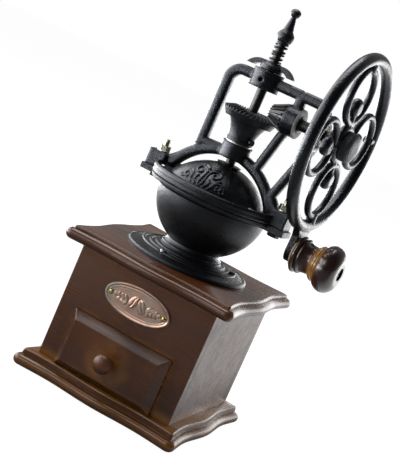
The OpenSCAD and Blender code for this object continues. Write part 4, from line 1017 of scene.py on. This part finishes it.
class MILL_OT_stage(bpy.types.Operator):
    """Sets the floor, the light and the camera"""
    bl_idname = "mill.stage"
    bl_label = "Studio"

    target = Vector((0.00026, 0.0, 0.11938))
    distance = 0.76391
    azimuth = math.radians(19.378)
    elevation = math.radians(9.7268)
    roll = math.radians(23.8045)

    # strength for the camera, strength where gloss sees it dark, and share over plain white
    floor_glow = 1.12
    floor_dark = 0.10
    floor_share = 0.85
    floor_half = 3000
    floor_z = -0.05
    world_diffuse = 0.25
    aim_at = Vector((0, 0, 0.13))

    def execute(self, context):
        scene = context.scene
        studio = scene.mill_studio
        back = Vector((math.sin(self.azimuth) * math.cos(self.elevation),
                       -math.cos(self.azimuth) * math.cos(self.elevation),
                       math.sin(self.elevation)))
        right = (-back).cross(Vector((0, 0, 1))).normalized()
        up = right.cross(-back)
        turned_right = math.cos(self.roll) * right + math.sin(self.roll) * up
        turned_up = -math.sin(self.roll) * right + math.cos(self.roll) * up
        data = bpy.data.cameras.new("camera")
        data.lens = studio.lens
        data.sensor_width = 36
        data.clip_start = 0.01
        camera = bpy.data.objects.new("camera", data)
        camera.matrix_world = Matrix((turned_right, turned_up, back)).transposed().to_4x4()
        camera.location = self.target + back * self.distance
        scene.collection.objects.link(camera)
        scene.camera = camera
        scene.view_settings.view_transform = "Standard"

        world = bpy.data.worlds.new("studio")
        scene.world = world
        world.use_nodes = True
        s = Shader(world.node_tree)
        path = s.add("ShaderNodeLightPath").outputs
        direction = s.add("ShaderNodeTexCoord").outputs["Generated"]
        x, y, _ = s.axes(direction)
        behind = s.step(y, -0.1, 0.75, 0.03, 0.3)
        side = s.step(x, -0.62, -0.80, 0.0, 2.4)
        glossy = s.math("MULTIPLY", path["Is Glossy Ray"], s.math("MAXIMUM", behind, side))
        dim = s.math("MULTIPLY", path["Is Diffuse Ray"], self.world_diffuse)
        strength = s.math("MAXIMUM", s.math("MAXIMUM", s.seen(path), glossy), dim)
        node = s.nodes["Background"]
        node.inputs["Color"].default_value = (1, 1, 1, 1)
        s.link(strength, node.inputs["Strength"])

        corners = [(x * self.floor_half, y * self.floor_half, self.floor_z)
                   for x, y in ((-1, -1), (1, -1), (1, 1), (-1, 1))]
        floor = new_object("floor", corners, [(0, 1, 2, 3)])
        material, s, _ = new_material("floor_white")
        path = s.add("ShaderNodeLightPath").outputs
        glow = s.add("ShaderNodeEmission")
        glow.inputs["Color"].default_value = (1, 1, 1, 1)
        # gloss sees a floor that is dark in front of the mill and under it, and bright far to
        # the left and far behind, with the borders in metres
        x, y, _ = s.axes(s.where())
        near_left = s.step(x, -0.46, -0.34)
        front = s.math("MULTIPLY", s.step(y, 0.05, -0.15), near_left)
        shade = s.math("MULTIPLY", s.step(x, 0.10, 0.05), s.step(y, 0.35, 0.25))
        shade = s.math("MULTIPLY", shade, near_left)
        far = s.math("MAXIMUM", s.step(x, -0.50, -0.72, 1.3, 14.0),
                     s.step(y, 0.40, 0.58, 1.3, 2.4))
        mirrored = s.step(s.math("MAXIMUM", front, shade), 0.0, 1.0, far, self.floor_dark)
        strength = s.mix(path["Is Glossy Ray"], self.floor_glow, mirrored, "FLOAT")
        s.link(strength, glow.inputs["Strength"])
        plain = s.add("ShaderNodeBsdfDiffuse")
        plain.inputs["Color"].default_value = (0.85, 0.85, 0.85, 1)
        seen = s.math("MAXIMUM", s.seen(path), path["Is Glossy Ray"])
        blend = s.add("ShaderNodeMixShader")
        s.link(s.math("MULTIPLY", seen, self.floor_share), blend.inputs[0])
        s.link(plain.outputs[0], blend.inputs[1])
        s.link(glow.outputs[0], blend.inputs[2])
        s.link(blend.outputs[0], s.nodes["Material Output"].inputs["Surface"])
        paint(floor, material)

        # name, place and sides in metres, power, whether gloss sees it
        lamps = [("right_light", (0.34, 0.90, 0.64), 0.70, 0.36, studio.key_power, False),
                 ("low_light", (0.24, 0.92, 0.19), 0.80, 0.34, studio.low_power, True),
                 ("left_light", (-0.985, -0.174, 0.45), 1.68, 0.9, studio.left_power, True),
                 ("top_light", (-0.30, 0.12, 0.98), 0.7, 0.62, studio.top_power, True),
                 ("front_light", (-0.38, -0.88, 0.58), 0.4, 0.36, studio.front_power, True)]
        for name, place, width, height, power, shines in lamps:
            light = bpy.data.lights.new(name, "AREA")
            light.shape = "RECTANGLE"
            light.size = width
            light.size_y = height
            light.energy = power
            lamp = bpy.data.objects.new(name, light)
            lamp.location = place
            lamp.visible_glossy = shines
            lamp.visible_camera = False
            aim = self.aim_at - Vector(place)
            lamp.rotation_euler = aim.to_track_quat("-Z", "Y").to_euler()
            scene.collection.objects.link(lamp)
        return {"FINISHED"}


class MILL_PT_panel(bpy.types.Panel):
    """Coffee mill tools"""
    bl_idname = "MILL_PT_panel"
    bl_label = "Coffee Mill"
    bl_space_type = "VIEW_3D"
    bl_region_type = "UI"
    bl_category = "Coffee Mill"

    def draw(self, context):
        for owner in (context.scene.mill_sizes, context.scene.mill_colours,
                      context.scene.mill_studio):
            box = self.layout.box()
            for name in owner.__annotations__:
                box.prop(owner, name)
        for operator in OPERATORS:
            self.layout.operator(operator.bl_idname)


SETTINGS = ((MillSizes, "mill_sizes"), (MillColours, "mill_colours"), (MillStudio, "mill_studio"))
OPERATORS = (MILL_OT_shaders, MILL_OT_stage, MILL_OT_boards, MILL_OT_panels, MILL_OT_metal,
             MILL_OT_relief, MILL_OT_spring, MILL_OT_threads, MILL_OT_plate, MILL_OT_handle)


def register():
    for group, name in SETTINGS:
        bpy.utils.register_class(group)
        setattr(bpy.types.Scene, name, PointerProperty(type=group))
    for operator in OPERATORS:
        bpy.utils.register_class(operator)
    bpy.utils.register_class(MILL_PT_panel)


def unregister():
    bpy.utils.unregister_class(MILL_PT_panel)
    for operator in reversed(OPERATORS):
        bpy.utils.unregister_class(operator)
    for group, name in reversed(SETTINGS):
        delattr(bpy.types.Scene, name)
        bpy.utils.unregister_class(group)


def main():
    register()
    for operator in OPERATORS:
        family, action = operator.bl_idname.split(".")
        getattr(getattr(bpy.ops, family), action)()


if __name__ == "__main__":
    main()
